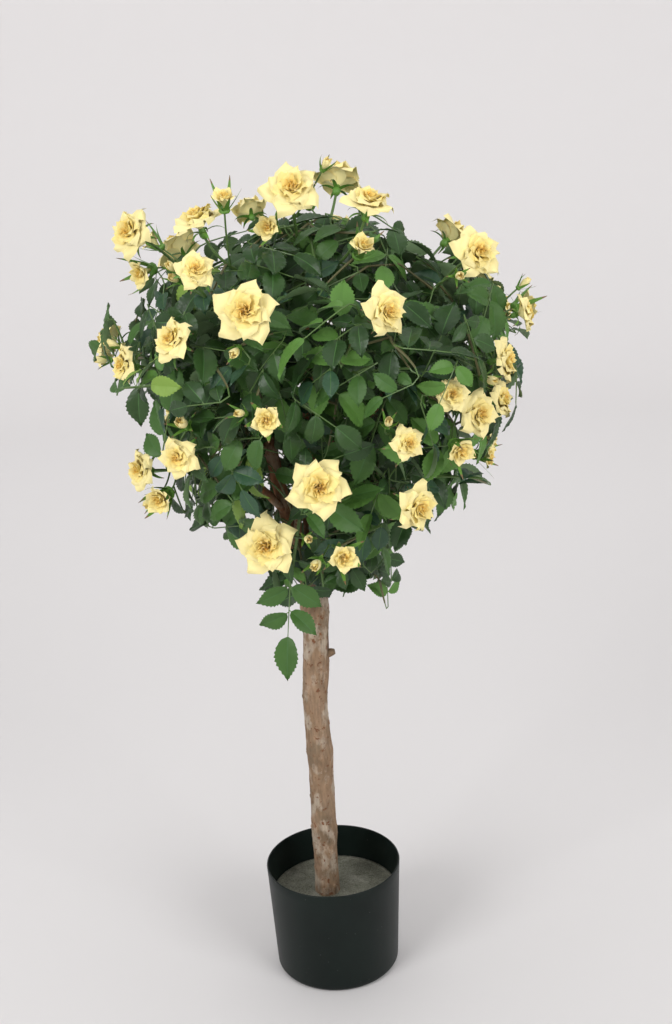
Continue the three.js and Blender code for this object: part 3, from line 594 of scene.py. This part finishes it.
def limb_lines():
    """Each bough's line from the fork, and each branch's from its bough."""
    fork, lines = np.array(TRUNK_POINTS[-1], float), {}
    out, down, arch = 4, 16, 0.08  # a bough's foot is in the trunk's top, and a branch is slightly arched
    for name, azimuth, reach, height, bend in BOUGHS:
        foot = fork + towards(azimuth) * out
        foot[2] = fork[2] - down
        middle = fork + towards(azimuth) * reach * bend
        middle[2] = fork[2] + (height - fork[2]) / 2
        lines[name] = through([foot, middle, place_at(azimuth, reach, height)])
    for name, bough, leaves_at, azimuth, reach, height in BRANCHES:
        foot = even(lines[BOUGHS[bough][0]], 200)[round(leaves_at * 200)]
        tip = place_at(azimuth, reach, height)
        middle = (foot + tip) / 2 + UP * arch * np.linalg.norm(tip - foot)
        lines[name] = through([foot, middle, tip])
    return lines


def is_bough(name):
    return name in [row[0] for row in BOUGHS]


def make_limbs():
    make_trunk()
    for name, line in LIMBS.items():
        kind, sizes, sides, run = ("bough", BOUGH, 36, 1.8) if is_bough(name) else ("branch", BRANCH, 24, 1.4)
        make_limb(f"bark_{kind}_{name}", line, tapering(sizes), sides, run, BARK_BOUGH, [f"{kind}_{name}"])


LIMBS = limb_lines()


# ---- Sprays ----


def behind(middle, look, size):
    """The foot of a bloom, behind its middle."""
    return middle - look * (0.6 if size < BUD_SIZE else 0.3) * size


def spray(row, tip, way):
    """A spray's stem, the stalks of its side blooms, and its blooms: size, base, look and middle."""
    off_tip, stem_pull, stalk_pull, apart, steps = 4.3, 0.42, 0.5, 4, 12
    stands, looks, blooms = row
    middle, look, outward = place_at(*stands), towards(*looks), towards(stands[0])
    right = np.cross(UP, outward)
    lead = blooms[0][0] if blooms else 0
    head = behind(middle, look, lead)
    start = tip + way * off_tip
    stem = bezier(start, head - look * stem_pull * np.linalg.norm(head - start), head, steps)
    heads = [(lead, head, look, middle)] if lead else []
    stalks = []
    for k, (size, clock) in enumerate(blooms[1:]):
        turn = math.radians(clock)
        aside = UP * math.cos(turn) + right * math.sin(turn)
        side_middle = middle + aside * ((lead + size) / 2 + apart) - outward * 0.12 * lead
        side_look = unit(look + 0.55 * aside)
        base = behind(side_middle, side_look, size)
        root = stem[int(round((0.58 + 0.08 * k) * steps))]
        stalks.append(bezier(root, base - side_look * stalk_pull * np.linalg.norm(base - root), base, steps))
        heads.append((size, base, side_look, side_middle))
    return {"stem": stem, "stalks": stalks, "heads": heads}


def mass_on(name, rows):
    """A limb's mass of foliage: where it starts, its sprays, and room for its leaves and twigs."""
    tip, way = LIMBS[name][-1], unit(LIMBS[name][-1] - LIMBS[name][-2])
    return {"tip": tip, "way": way, "sprays": [spray(row, tip, way) for row in rows], "leaves": [], "twigs": []}


MASSES = {name: mass_on(name, rows) for name, rows in SPRAYS.items()}

# What a leaflet keeps clear of: the blooms, and the limbs and trunk.
ALL_HEADS = [head for mass in MASSES.values() for one in mass["sprays"] for head in one["heads"]]
HEAD_MIDDLES = np.array([head[3] for head in ALL_HEADS])
HEAD_REACH = np.array([head[0] * (0.62 if head[0] < BUD_SIZE else 0.5) for head in ALL_HEADS])
BLOOM_ROOM, BOUGH_ROOM, BRANCH_ROOM, TRUNK_ROOM = 0.92, 10.0, 5.6, 15.0  # a share of the bloom, and radii
TRUNK_LINE = even(through([(-8, 0, FILL_TOP), *TRUNK_POINTS[3:]]), 60)
LIMB_POINTS = np.vstack([even(line, 24) for line in LIMBS.values()] + [TRUNK_LINE])
LIMB_RADII = [np.full(25, BOUGH_ROOM if is_bough(name) else BRANCH_ROOM) for name in LIMBS]
LIMB_RADII = np.concatenate([*LIMB_RADII, np.full(61, TRUNK_ROOM)])

# ---- Compound leaves ----

SITES = 1350
SITE_DEPTHS = (22, 50, 34, 78, 62, 2)  # under the crown's outline, taken in turn
GOLDEN_ANGLE = math.radians(137.508)
RACHIS = 42.0  # from a leaf's first pair of leaflets to its end leaflet
DROOP = 0.0011  # how the rachis bends down, for each square millimetre of its run
LEAFLET = {"length": 39.0, "width": 22.0, "stalk": 2.0}
# A leaf's leaflets: where on the rachis each stands, the angle that it stands out at, and its size.
LEAFLETS = [(0.0, 64, 0.8), (0.04, -64, 0.8), (0.5, 58, 0.95), (0.54, -58, 0.95), (1.0, 0, 1.0)]
FEWEST = 3  # leaflets on a leaf, its end one among them
LEAF_SCALES = (1.0, 0.82, 0.66)  # tried in turn, until a leaf fits
TURNS = (0, 60, -60, 120, -120, 180)  # the bearings that are tried, from the first one
STRAY = 12.0  # how far a leaf may stand out of the crown
REACH_OUT = 60.0  # from a stem to the foot of a leaf
SPACING = 10.5  # between the middles of leaflets of different leaves
TWIG_FROM = 38  # a leaf that is further off than this gets a twig
SKY_BELOW = -0.15  # of the noise that thins the leaves in patches, so that sky shows between the sprays
LOW_SPRAY = 3  # the front mass's spray without a bloom, which the lowest leaf hangs from
# Dents in the crown's outline: azimuth, height, half its width in degrees and the share of the reach that it takes.
DENTS = [
    (-82, 650, 28, 0.36), (100, 590, 46, 0.46), (-72, 560, 34, 0.26), (62, 790, 32, 0.4), (-58, 790, 28, 0.4),
    (178, 600, 22, 0.25), (-140, 690, 22, 0.25), (140, 800, 26, 0.35), (14, 650, 16, 0.2),
]
# Places left open in front of the forked boughs, which show there: a point on a bough and a radius.
OPENINGS = [((-20, -4, 500), 17), ((-30, -6, 540), 18), ((-35, -8, 580), 15), ((24, -10, 560), 14)]
OPENING_WAY = np.array([0.03, -0.95, 0.31])


def crown_reach(height):
    heights, reaches = zip(*LEAFY)
    return np.interp(height, heights, reaches, left=0, right=0)


def site_of(i):
    """Where a leaf may stand: sites wind down round the crown, at depths under its lumpy, dented outline."""
    lowest, highest = LEAFY[0][0], LEAFY[-1][0]
    lump_share, lump_height, fullest, dent_height = 0.45, 75, 1.04, 45
    height = highest - (highest - lowest) * (i + 0.5) / SITES
    turn = i * GOLDEN_ANGLE
    lumps = 1 + lump_share * noise.noise(Vector((math.sin(turn) * 2.4, math.cos(turn) * 2.4, height / lump_height)))
    for azimuth, middle, width, share in DENTS:
        off = (math.degrees(turn) - azimuth + 180) % 360 - 180
        lumps -= share * math.exp(-((off / width) ** 2) - ((height - middle) / dent_height) ** 2)
    reach = max(0.0, min(fullest, lumps) * float(crown_reach(height)) - SITE_DEPTHS[i % len(SITE_DEPTHS)])
    return np.array([math.sin(turn) * reach + CROWN_MIDDLE[0], -math.cos(turn) * reach, height])


def leaflet_seat(base, ahead, normal, row, scale):
    """Where a leaflet leaves the rachis, and the way it points."""
    share, bearing, size = row
    aside = np.cross(normal, ahead)
    turn = math.radians(bearing)
    points = ahead * math.cos(turn) + aside * math.sin(turn)
    run = share * RACHIS * scale
    at = base + ahead * run - normal * DROOP * run * run
    return at + points * LEAFLET["stalk"] * scale, points, size * scale


def upright(normal, ahead):
    """The normal, turned to be at right angles to the way ahead."""
    return unit(normal - ahead * (normal @ ahead))


def leaf_that_fits(site, root, bearing, tilt, roll, taken):
    """The largest leaf that fits at a site, at the bearing where most of its leaflets do."""
    before, past, sag = 0.4, 0.6, 7  # the shares of the leaf on each side of its site, and how far it hangs
    outward = site - CROWN_MIDDLE
    outward[2] = max(0.0, outward[2])
    outward = unit(outward)
    sideways = across(outward)
    down = -np.cross(sideways, outward)
    for scale in LEAF_SCALES:
        best = None
        reach = (RACHIS + LEAFLET["length"]) * scale
        for turn in TURNS:
            angle = math.radians(bearing + turn)
            along = down * math.cos(angle) + sideways * math.sin(angle)
            base = site - along * before * reach
            end = site + along * past * reach - UP * sag
            ahead = unit(end - base)
            facing = outward * 0.7 + UP * (0.1 + 0.7 * tilt) + across(along) * 1.2 * (roll - 0.5)
            normal = upright(facing, ahead)
            gap = float(np.linalg.norm(base - root))
            if gap > REACH_OUT:
                continue
            kept, spots = [], []
            for row in LEAFLETS:
                at, points, size = leaflet_seat(base, ahead, normal, row, scale)
                tests = np.array([at + points * (LEAFLET["length"] * size) * share for share in (0.2, 0.6, 0.98)])
                if fits(tests, taken):
                    kept.append(row)
                    spots.append(tests[:2])
            if len(kept) < FEWEST or LEAFLETS[-1] not in kept:
                continue
            score = len(kept) - 0.004 * gap
            if best is None or score > best[0]:
                best = (score, (base, ahead, normal, scale, kept), np.vstack(spots), gap)
        if best is not None:
            return best[1:]
    return None


def grow_leaves():
    """Each site's leaf grows on the nearest stem or twig. A leaf with a long way to go gets a twig of its own, which
    later leaves may grow on."""
    roots = {}
    for name, mass in MASSES.items():
        lines = [line for one in mass["sprays"] for line in [one["stem"], *one["stalks"]]]
        roots[name] = [even(line, 10)[2:-1] for line in lines]
    taken = hang_low_leaf()
    for i in range(SITES):
        site = site_of(i)
        if noise.noise(Vector(site / 50)) < SKY_BELOW:
            continue
        nearest = min(roots, key=lambda name: min(np.linalg.norm(run - site, axis=1).min() for run in roots[name]))
        runs = np.vstack(roots[nearest])
        root = runs[np.linalg.norm(runs - site, axis=1).argmin()]
        draw = seeded(i + 1)
        tilt, roll, _, shade = draw(), draw(), draw(), draw()
        found = leaf_that_fits(site, root, 70 * math.sin(i * 2.4), tilt, roll, taken)
        if found is None:
            continue
        (base, ahead, normal, scale, kept), spots, gap = found
        taken = np.vstack([taken, spots])
        way_in = bezier(root, base - ahead * 0.4 * gap, base, 8)
        if gap > TWIG_FROM:
            MASSES[nearest]["twigs"].append(even(way_in, 8)[:6])
            roots[nearest].append(even(way_in, 8)[2:6])
        MASSES[nearest]["leaves"].append((way_in, base, ahead, normal, scale, kept, shade, i))


def hang_low_leaf():
    """The lowest leaf hangs from the end of its spray. Returns the spots that it takes."""
    mass = MASSES["front_low"]
    stem = mass["sprays"][LOW_SPRAY]["stem"] = mass["sprays"][LOW_SPRAY]["stem"][:-3]
    ahead = unit(np.array([-0.1, -0.25, -1.0]))
    normal = upright(np.array([0.0, -1.0, 0.0]), ahead)
    mass["leaves"].append((stem[-5:], stem[-1], ahead, normal, 1.12, LEAFLETS, 0.85, SITES))
    seats = [leaflet_seat(stem[-1], ahead, normal, row, 1.1) for row in LEAFLETS]
    return np.array([at + way * LEAFLET["length"] * size * share for at, way, size in seats for share in (0.2, 0.6)])


def fits(tests, taken):
    """Whether a leaflet's spots are in the crown, and clear of blooms, limbs, openings and other leaves."""
    off_axis = np.hypot(tests[:, 0] - CROWN_MIDDLE[0], tests[:, 1])
    if (off_axis > crown_reach(tests[:, 2]) + STRAY).any():
        return False
    if (np.linalg.norm(tests[:, None] - HEAD_MIDDLES, axis=2) < HEAD_REACH * BLOOM_ROOM).any():
        return False
    if (np.linalg.norm(tests[:, None] - LIMB_POINTS, axis=2) < LIMB_RADII).any():
        return False
    for point, radius in OPENINGS:
        off = tests - np.array(point)
        run = off @ OPENING_WAY
        if ((run > 0) & (np.linalg.norm(off - run[:, None] * OPENING_WAY, axis=1) < radius)).any():
            return False
    return (np.linalg.norm(tests[:, None] - taken, axis=2) > SPACING).all()


def leaflet_blank():
    """A serrated leaflet of length 1 along X: quilted between its side veins, with a strip for the midrib (material
    1) and an underside (material 2)."""
    runs, rib = 10, 0.045
    columns = [-1.0, -0.5, -rib, rib, 0.5, 1.0]
    low_quilt, high_quilt, half_thickness = 0.006, 0.04, 0.006
    bm = bmesh.new()
    bmesh.ops.create_grid(bm, x_segments=runs, y_segments=5, size=1)
    for f in bm.faces:
        f.material_index = 1 if abs(f.calc_center_median().y) < 0.1 else 0
    for v in bm.verts:
        v.co = Vector(((v.co.x + 1) / 2, columns[round((v.co.y + 1) * 2.5)], 1))
    for v in bmesh.ops.create_grid(bm, x_segments=runs, y_segments=2, size=1)["verts"]:
        v.co = Vector(((v.co.x + 1) / 2, v.co.y, -1))
    under = [f for f in bm.faces if f.verts[0].co.z < 0]
    bmesh.ops.reverse_faces(bm, faces=under)
    for f in under:
        f.material_index = 2
    margin = [e for e in bm.edges if e.is_boundary and abs(e.verts[0].co.y + e.verts[1].co.y) == 2]
    bmesh.ops.subdivide_edges(bm, edges=margin, cuts=1)
    for v in bm.verts:
        t, y, face = v.co
        outline = math.sin(math.pi * min(1.0, t) ** 0.74) ** (0.68 + 0.62 * t)
        half = LEAFLET["width"] / LEAFLET["length"] / 2
        at_edge = abs(y) == 1
        row = t * runs
        tooth = abs(row - round(row)) < 0.01
        oblique = 0.75 * abs(y) * (1 - t) * min(1.0, 4 * t)
        x = t + oblique / runs
        wide = y * half * outline
        if at_edge and 0.02 < t < 0.98:  # the teeth
            wide *= 1.05 if tooth else 0.93
            x += 0.012 if tooth else -0.008
        quilt = 0.0
        if face > 0 and 0.2 < abs(y) < 1 and 0.05 < t < 0.95:
            quilt = high_quilt if round(row) % 2 else low_quilt
        thickness = half_thickness if not at_edge and 0.02 < t < 0.98 else 0
        v.co = Vector((x, wide, quilt + (thickness if face > 0 else -thickness)))
    bmesh.ops.remove_doubles(bm, verts=bm.verts[:], dist=1e-4)
    bmesh.ops.dissolve_degenerate(bm, edges=bm.edges[:], dist=1e-5)
    return arrays(bm)


def lay_leaflet(blank, at, ahead, normal, length, fold, curl, twist):
    """The leaflet's points in their place: its halves fold up from the midrib, its margin waves, and it curls down."""
    aside = np.cross(normal, ahead)
    x, y, z = blank[:, 0] * length, blank[:, 1] * length, blank[:, 2] * length
    roll = twist * blank[:, 0]
    y, z = y * np.cos(roll) - z * np.sin(roll), y * np.sin(roll) + z * np.cos(roll)
    wave = 0.018 * length * np.sin(blank[:, 0] * 7 + 9 * twist) * np.sign(y) * np.minimum(1, np.abs(y) / 4)
    z = z + fold * np.abs(y) - wave
    turn = curl * blank[:, 0]
    radius = length / max(abs(curl), 1e-3) * (1 if curl >= 0 else -1)
    flat = radius * np.sin(turn) + z * np.sin(turn)
    drop = -radius * (1 - np.cos(turn)) + z * np.cos(turn)
    return at + np.outer(flat, ahead) + np.outer(y, aside) + np.outer(drop, normal)


def lay_leaves(pile, stems, mass):
    blank, faces, slots = LEAFLET_BLANK
    bar, bar_faces, _ = THIN_BAR
    stalk, stalk_faces, _ = SHORT_BAR
    for way_in, base, ahead, normal, scale, kept, shade, i in mass["leaves"]:
        draw = seeded(5000 + i)
        green = next(k for k, share in enumerate(GREEN_SHARES) if shade <= share)
        rib = green if green >= FIRST_YOUNG else len(GREENS)
        numbers = np.choose(slots, [green, rib, len(GREENS) + 1])
        runs = np.linspace(0, RACHIS * scale, 7)[:, None]
        rachis = base + ahead * runs - normal * DROOP * runs * runs
        path = even(np.vstack([way_in, rachis[1:]]), 8)
        stems.add(bend_bar(bar, path, np.linspace(0.95, 0.5, 9) * (0.75 + 0.25 * scale)), bar_faces, WIRE_NUMBER)
        for row in kept:
            at, points, size = leaflet_seat(base, ahead, normal, row, scale)
            foot = at - points * LEAFLET["stalk"] * scale
            line = np.array([foot, (foot + at) / 2, at + points])
            stems.add(bend_bar(stalk, line, [0.55, 0.5, 0.4]), stalk_faces, WIRE_NUMBER)
            lean = normal + np.cross(points, normal) * (draw() - 0.5) * 1.3
            points = unit(points + normal * (draw() - 0.55) * 0.7 - UP * 0.1)
            lean = upright(lean, points)
            length = LEAFLET["length"] * size * (0.82 + 0.3 * draw())
            fold, curl, twist = 0.1 + 0.35 * draw(), 0.2 + 0.75 * draw(), 0.5 * (draw() - 0.5)
            pile.add(lay_leaflet(blank, at, points, lean, length, fold, curl, twist), faces, numbers)


# ---- Roses and buds ----

# The petals of a rose, ring by ring from the outside to its heart. Lengths and widths are shares of its diameter, and
# a petal leans from the first angle at its foot to the second at its tip.
RING = ("petals", "length", "width", "leans", "point", "roll", "tone")
ROSE_RINGS = [
    (5, 0.59, 0.41, (38, 96), 2.5, 0.09, 0),
    (5, 0.52, 0.35, (24, 70), 3.6, 0.09, 0),
    (5, 0.48, 0.3, (15, 52), 5.0, 0.07, 1),
    (5, 0.45, 0.24, (9, 37), 6.0, 0.05, 1),
    (5, 0.43, 0.18, (4, 25), 6.0, 0.03, 2),
    (4, 0.41, 0.13, (0, 14), 6.0, 0.0, 2),
    (3, 0.4, 0.09, (-2, 3), 6.0, 0.0, 3),
]
SHEET_STEPS = 40
PETAL_HALF, SEPAL_HALF = 0.22, 0.15  # half the thickness
HALF_OPEN = 22  # a bloom from here up to BUD_SIZE is a half-open rose
BUD_RINGS = [
    (4, 1.12, 0.5, (32, -22), 2.0, 0.03, 0),
    (3, 1.1, 0.4, (22, -14), 2.2, 0.0, 1),
    (3, 1.04, 0.3, (8, -15), 2.2, 0.0, 2),
]


def rings_of(size):
    """The rings of a bloom's petals. A half-open rose lacks the outer ring, and its petals are longer and steeper."""
    rings = [dict(zip(RING, row)) for row in (BUD_RINGS if size < HALF_OPEN else ROSE_RINGS)]
    if HALF_OPEN <= size < BUD_SIZE:
        rings = rings[1:]
        for ring in rings:
            low, high = ring["leans"]
            ring.update(length=ring["length"] * 1.6, point=6, leans=(low * 0.8, high * 0.78))
    return rings


def run_of(leans, length):
    """How far out and up each step of a sheet is that leans by these angles in turn."""
    steps = len(leans)
    return tuple(np.r_[0, np.cumsum(way(leans))] / steps * length for way in (np.sin, np.cos))


def petal(blank, size, ring, turn, draw):
    """A petal in the bloom's own frame, with the bloom's axis along Z."""
    u, v, face = blank[:, 0], blank[:, 1], blank[:, 2]
    length = ring["length"] * size * (0.94 + 0.12 * draw())
    low, high = (math.radians(a) for a in ring["leans"])
    high += math.radians(14) * (draw() - 0.5)
    steps = np.linspace(0, 1, SHEET_STEPS + 1)
    lean = low + (high - low) * steps**1.3
    out, rise = run_of((lean[1:] + lean[:-1]) / 2, length)
    widening = 0.35 + 0.65 * np.sin(np.clip(v / 0.5, 0, 1) * math.pi / 2)
    narrowing = 1 - 0.93 * np.clip((v - 0.5) / 0.5, 0, 1) ** ring["point"]
    width = ring["width"] * size * widening * narrowing ** (0.5 if ring["point"] > 4 else 1)
    reach = 0.02 * size + np.interp(v, steps, out)
    height = np.interp(v, steps, rise)
    roll = ring["roll"] * size * (np.abs(u) ** 2.2) * v**1.5
    ripple = 0.017 * size * np.sin(5.5 * u + 8 * draw()) * v
    slope = np.interp(v, steps, lean)
    reach = reach + roll * np.cos(slope) * 0.4 + 0.05 * size * u * v + ripple * np.cos(slope)
    height = height - roll * np.sin(slope) - roll * 0.3 + ripple * np.sin(slope)
    reach, height = reach + PETAL_HALF * face * np.cos(slope), height - PETAL_HALF * face * np.sin(slope)
    angle = turn + u * width / (np.maximum(reach, 0.5) + 0.075 * size)
    return np.stack([reach * np.cos(angle), reach * np.sin(angle), height], axis=1)


def sepal(blank, length, leans, turn, width, foot):
    """A narrow green tongue round the bloom's foot, which curls to a thin tip."""
    u, v, face = blank[:, 0], blank[:, 1], blank[:, 2]
    steps = np.linspace(0, 1, SHEET_STEPS + 1)
    lean = np.radians(leans[0] + (leans[1] - leans[0]) * steps**1.5)
    out, rise = run_of(lean[1:], length)
    slope = np.interp(v, steps, lean)
    reach = foot + np.interp(v, steps, out) + SEPAL_HALF * face * np.cos(slope)
    height = np.interp(v, steps, rise) - SEPAL_HALF * face * np.sin(slope)
    wide = u * width * (1 - 0.95 * v**1.4) ** 0.8
    c, s = math.cos(turn), math.sin(turn)
    return np.stack([reach * c - wide * s, reach * s + wide * c, height], axis=1)


def turned_to(points, look, base):
    """Points round the Z axis, turned to look another way and moved to their place."""
    q = Vector(UP).rotation_difference(Vector(look)).to_matrix()
    return points @ np.array(q).T + base


def lay_bloom(blooms, greens, head, seed):
    """A bloom's petals round a core, and its green foot with five sepals."""
    size, base, look, _ = head
    draw = seeded(900 + seed)
    bud = size < BUD_SIZE
    spin = draw() * 2 * math.pi
    points, faces, _ = PETAL_BLANK
    foot = base + look * (0.02 * size)
    for k, ring in enumerate(rings_of(size)):
        for n in range(ring["petals"]):
            turn = spin + (n + 0.5 * (k % 2) + 0.22 * (draw() - 0.5) + 0.13 * k) * 2 * math.pi / ring["petals"]
            shape = petal(points, size, ring, turn, draw)
            blooms.add(turned_to(shape, look, foot), faces, ring["tone"])
    urn, urn_faces, _ = URN_BAR
    core_top, calyx_foot, calyx_radius = (0.8, -0.2, 0.24) if bud else (0.33, -0.17, 0.085)
    core = base + np.linspace(0, core_top, 5)[:, None] * size * look
    blooms.add(bend_bar(urn, core, np.array([0.05, 0.06, 0.055, 0.04, 0.012]) * size), urn_faces, 2)
    axis = np.linspace(calyx_foot, 0.05, 5)[:, None] * size * look + base
    swell = np.array([0.5, 0.95, 1.0, 0.85, 0.7]) * (calyx_radius * size)
    greens.add(bend_bar(urn, axis, swell), urn_faces, CALYX_NUMBER)
    tongue, tongue_faces, _ = SEPAL_BLANK
    numbers = np.where(tongue[tongue_faces][:, :, 1].mean(axis=1) > 0.8, TIP_NUMBER, CALYX_NUMBER)
    for n in range(5):
        turn = spin + (n + 0.3 * draw()) * 2 * math.pi / 5
        if bud:
            length, leans, width, out = size * (0.95 + 0.4 * draw()), (34, -14 + 70 * draw()), 0.12 * size, 0.17 * size
        else:
            length, leans, width, out = 14 + 9 * draw(), (70, 130 + 50 * draw()), 2.2, 0.06 * size
        shape = sepal(tongue, length, leans, turn, width, out)
        greens.add(turned_to(shape, look, base - look * 0.03 * size), tongue_faces, numbers)


def lay_stems(stems, mass):
    """The tape round the limb's tip, the sprays' stems and stalks, and the twigs."""
    bar, bar_faces, _ = STEM_BAR
    tip, way = mass["tip"], mass["way"]
    collar = np.array([tip + way * along for along in (-5, -1, 3, 7, 10)])
    stems.add(bend_bar(URN_BAR[0], collar, [3.2, 4.1, 4.0, 3.2, 1.6]), URN_BAR[1], TAPE_NUMBER)
    for one in mass["sprays"]:
        lines = [(np.vstack([[tip - way * 3], one["stem"]]), 1.9, 1.25)]
        for line, thick, thin in lines + [(stalk, 1.0, 0.8) for stalk in one["stalks"]]:
            stems.add(bend_bar(bar, even(line, 16), np.linspace(thick, thin, 17)), bar_faces, WIRE_NUMBER)
    for twig in mass["twigs"]:
        stems.add(bend_bar(SHORT_TWIG[0], twig, np.linspace(1.35, 0.9, 6)), SHORT_TWIG[1], TWIG_NUMBER)


# The shapes that are bent and laid many times, as points, triangles and material numbers.
LEAFLET_BLANK = leaflet_blank()
PETAL_BLANK = arrays(shell(6, 6))
SEPAL_BLANK = arrays(shell(2, 6))
BARS = [arrays(round_bar(sides, steps)) for sides, steps in ((4, 8), (4, 2), (5, 5), (6, 16), (8, 4))]
THIN_BAR, SHORT_BAR, SHORT_TWIG, STEM_BAR, URN_BAR = BARS

make_pot()
make_cement()
make_limbs()
grow_leaves()
seeds = iter(range(len(ALL_HEADS)))
for side, members in SIDES.items():
    leaves, stems, blooms = Pile(), Pile(), Pile()
    for name in members:
        mass = MASSES[name]
        lay_leaves(leaves, stems, mass)
        lay_stems(stems, mass)
        for one in mass["sprays"]:
            for head in one["heads"]:
                lay_bloom(blooms, stems, head, next(seeds))
    nodes = [f"foliage_{name}" for name in members]
    leaves.lay_down(f"leaves_{side}", [*GREENS, MIDRIB, UNDERSIDE], nodes)
    stems.lay_down(f"stems_{side}", STEM_MATERIALS, nodes)
    blooms.lay_down(f"roses_{side}", PETALS, nodes)

# ---- Stage, light and camera ----


def make_stage():
    """A pale round floor that turns up into a wall all round, open above."""
    radius, fillet, height = 3600, 1100, 3200
    flat = [(i / 10 * (radius - fillet), 0) for i in range(10)]
    bm = spun(flat + arc((radius - fillet, fillet), fillet, -90, 0, 16) + [(radius, height)], 96)
    if bm.faces[0].normal.z < 0:
        bmesh.ops.reverse_faces(bm, faces=bm.faces[:])
    paper, *_ = finish("matt_background_paper", "#dddbdb", 0.95)
    smooth_object(in_metres(bm, "paper_floor"), [paper])


def soft_box(name, location, target, size, watts):
    lamp = bpy.data.lights.new(name, "AREA")
    lamp.shape, lamp.size, lamp.size_y, lamp.energy = "RECTANGLE", size[0], size[1], watts
    made = put(name, lamp)
    made.location = location
    made.rotation_euler = (Vector(target) - Vector(location)).to_track_quat("-Z", "Y").to_euler()


make_stage()
soft_box("soft_box_left", (-1.9, -2.0, 1.9), (0, 0, 0.5), (1.4, 1.4), 46)
soft_box("soft_box_right", (1.9, -2.0, 1.8), (0, 0, 0.5), (1.4, 1.4), 38)
soft_box("soft_box_above", (0, 0.3, 3.0), (0, 0, 0.4), (2.4, 2.4), 12)
soft_box("background_light", (0, 1.6, 2.9), (0, 3.5, 0.9), (3.2, 0.8), 30)
world = bpy.data.worlds.new("studio_air")
world.use_nodes = True
air = world.node_tree.nodes["Background"]
air.inputs["Color"].default_value, air.inputs["Strength"].default_value = linear("#f2f1f1"), 0.5
bpy.context.scene.world = world
bpy.context.scene.view_settings.view_transform = "Standard"

# The camera looks a little down, and is turned slightly about its own line of sight.
pitch, roll = math.radians(18.3), math.radians(3.0)
right, up = Vector((1, 0, 0)), Vector((0, math.sin(pitch), math.cos(pitch)))
ahead = Vector((0, math.cos(pitch), -math.sin(pitch)))
side, top = right * math.cos(roll) - up * math.sin(roll), right * math.sin(roll) + up * math.cos(roll)
lens = bpy.data.cameras.new("camera")
lens.sensor_fit, lens.sensor_width, lens.lens = "AUTO", 36, 50
camera = put("camera", lens)
camera.matrix_world = Matrix.Translation((0.023, -1.357, 0.971)) @ Matrix((side, top, -ahead)).transposed().to_4x4()
bpy.context.scene.camera = camera
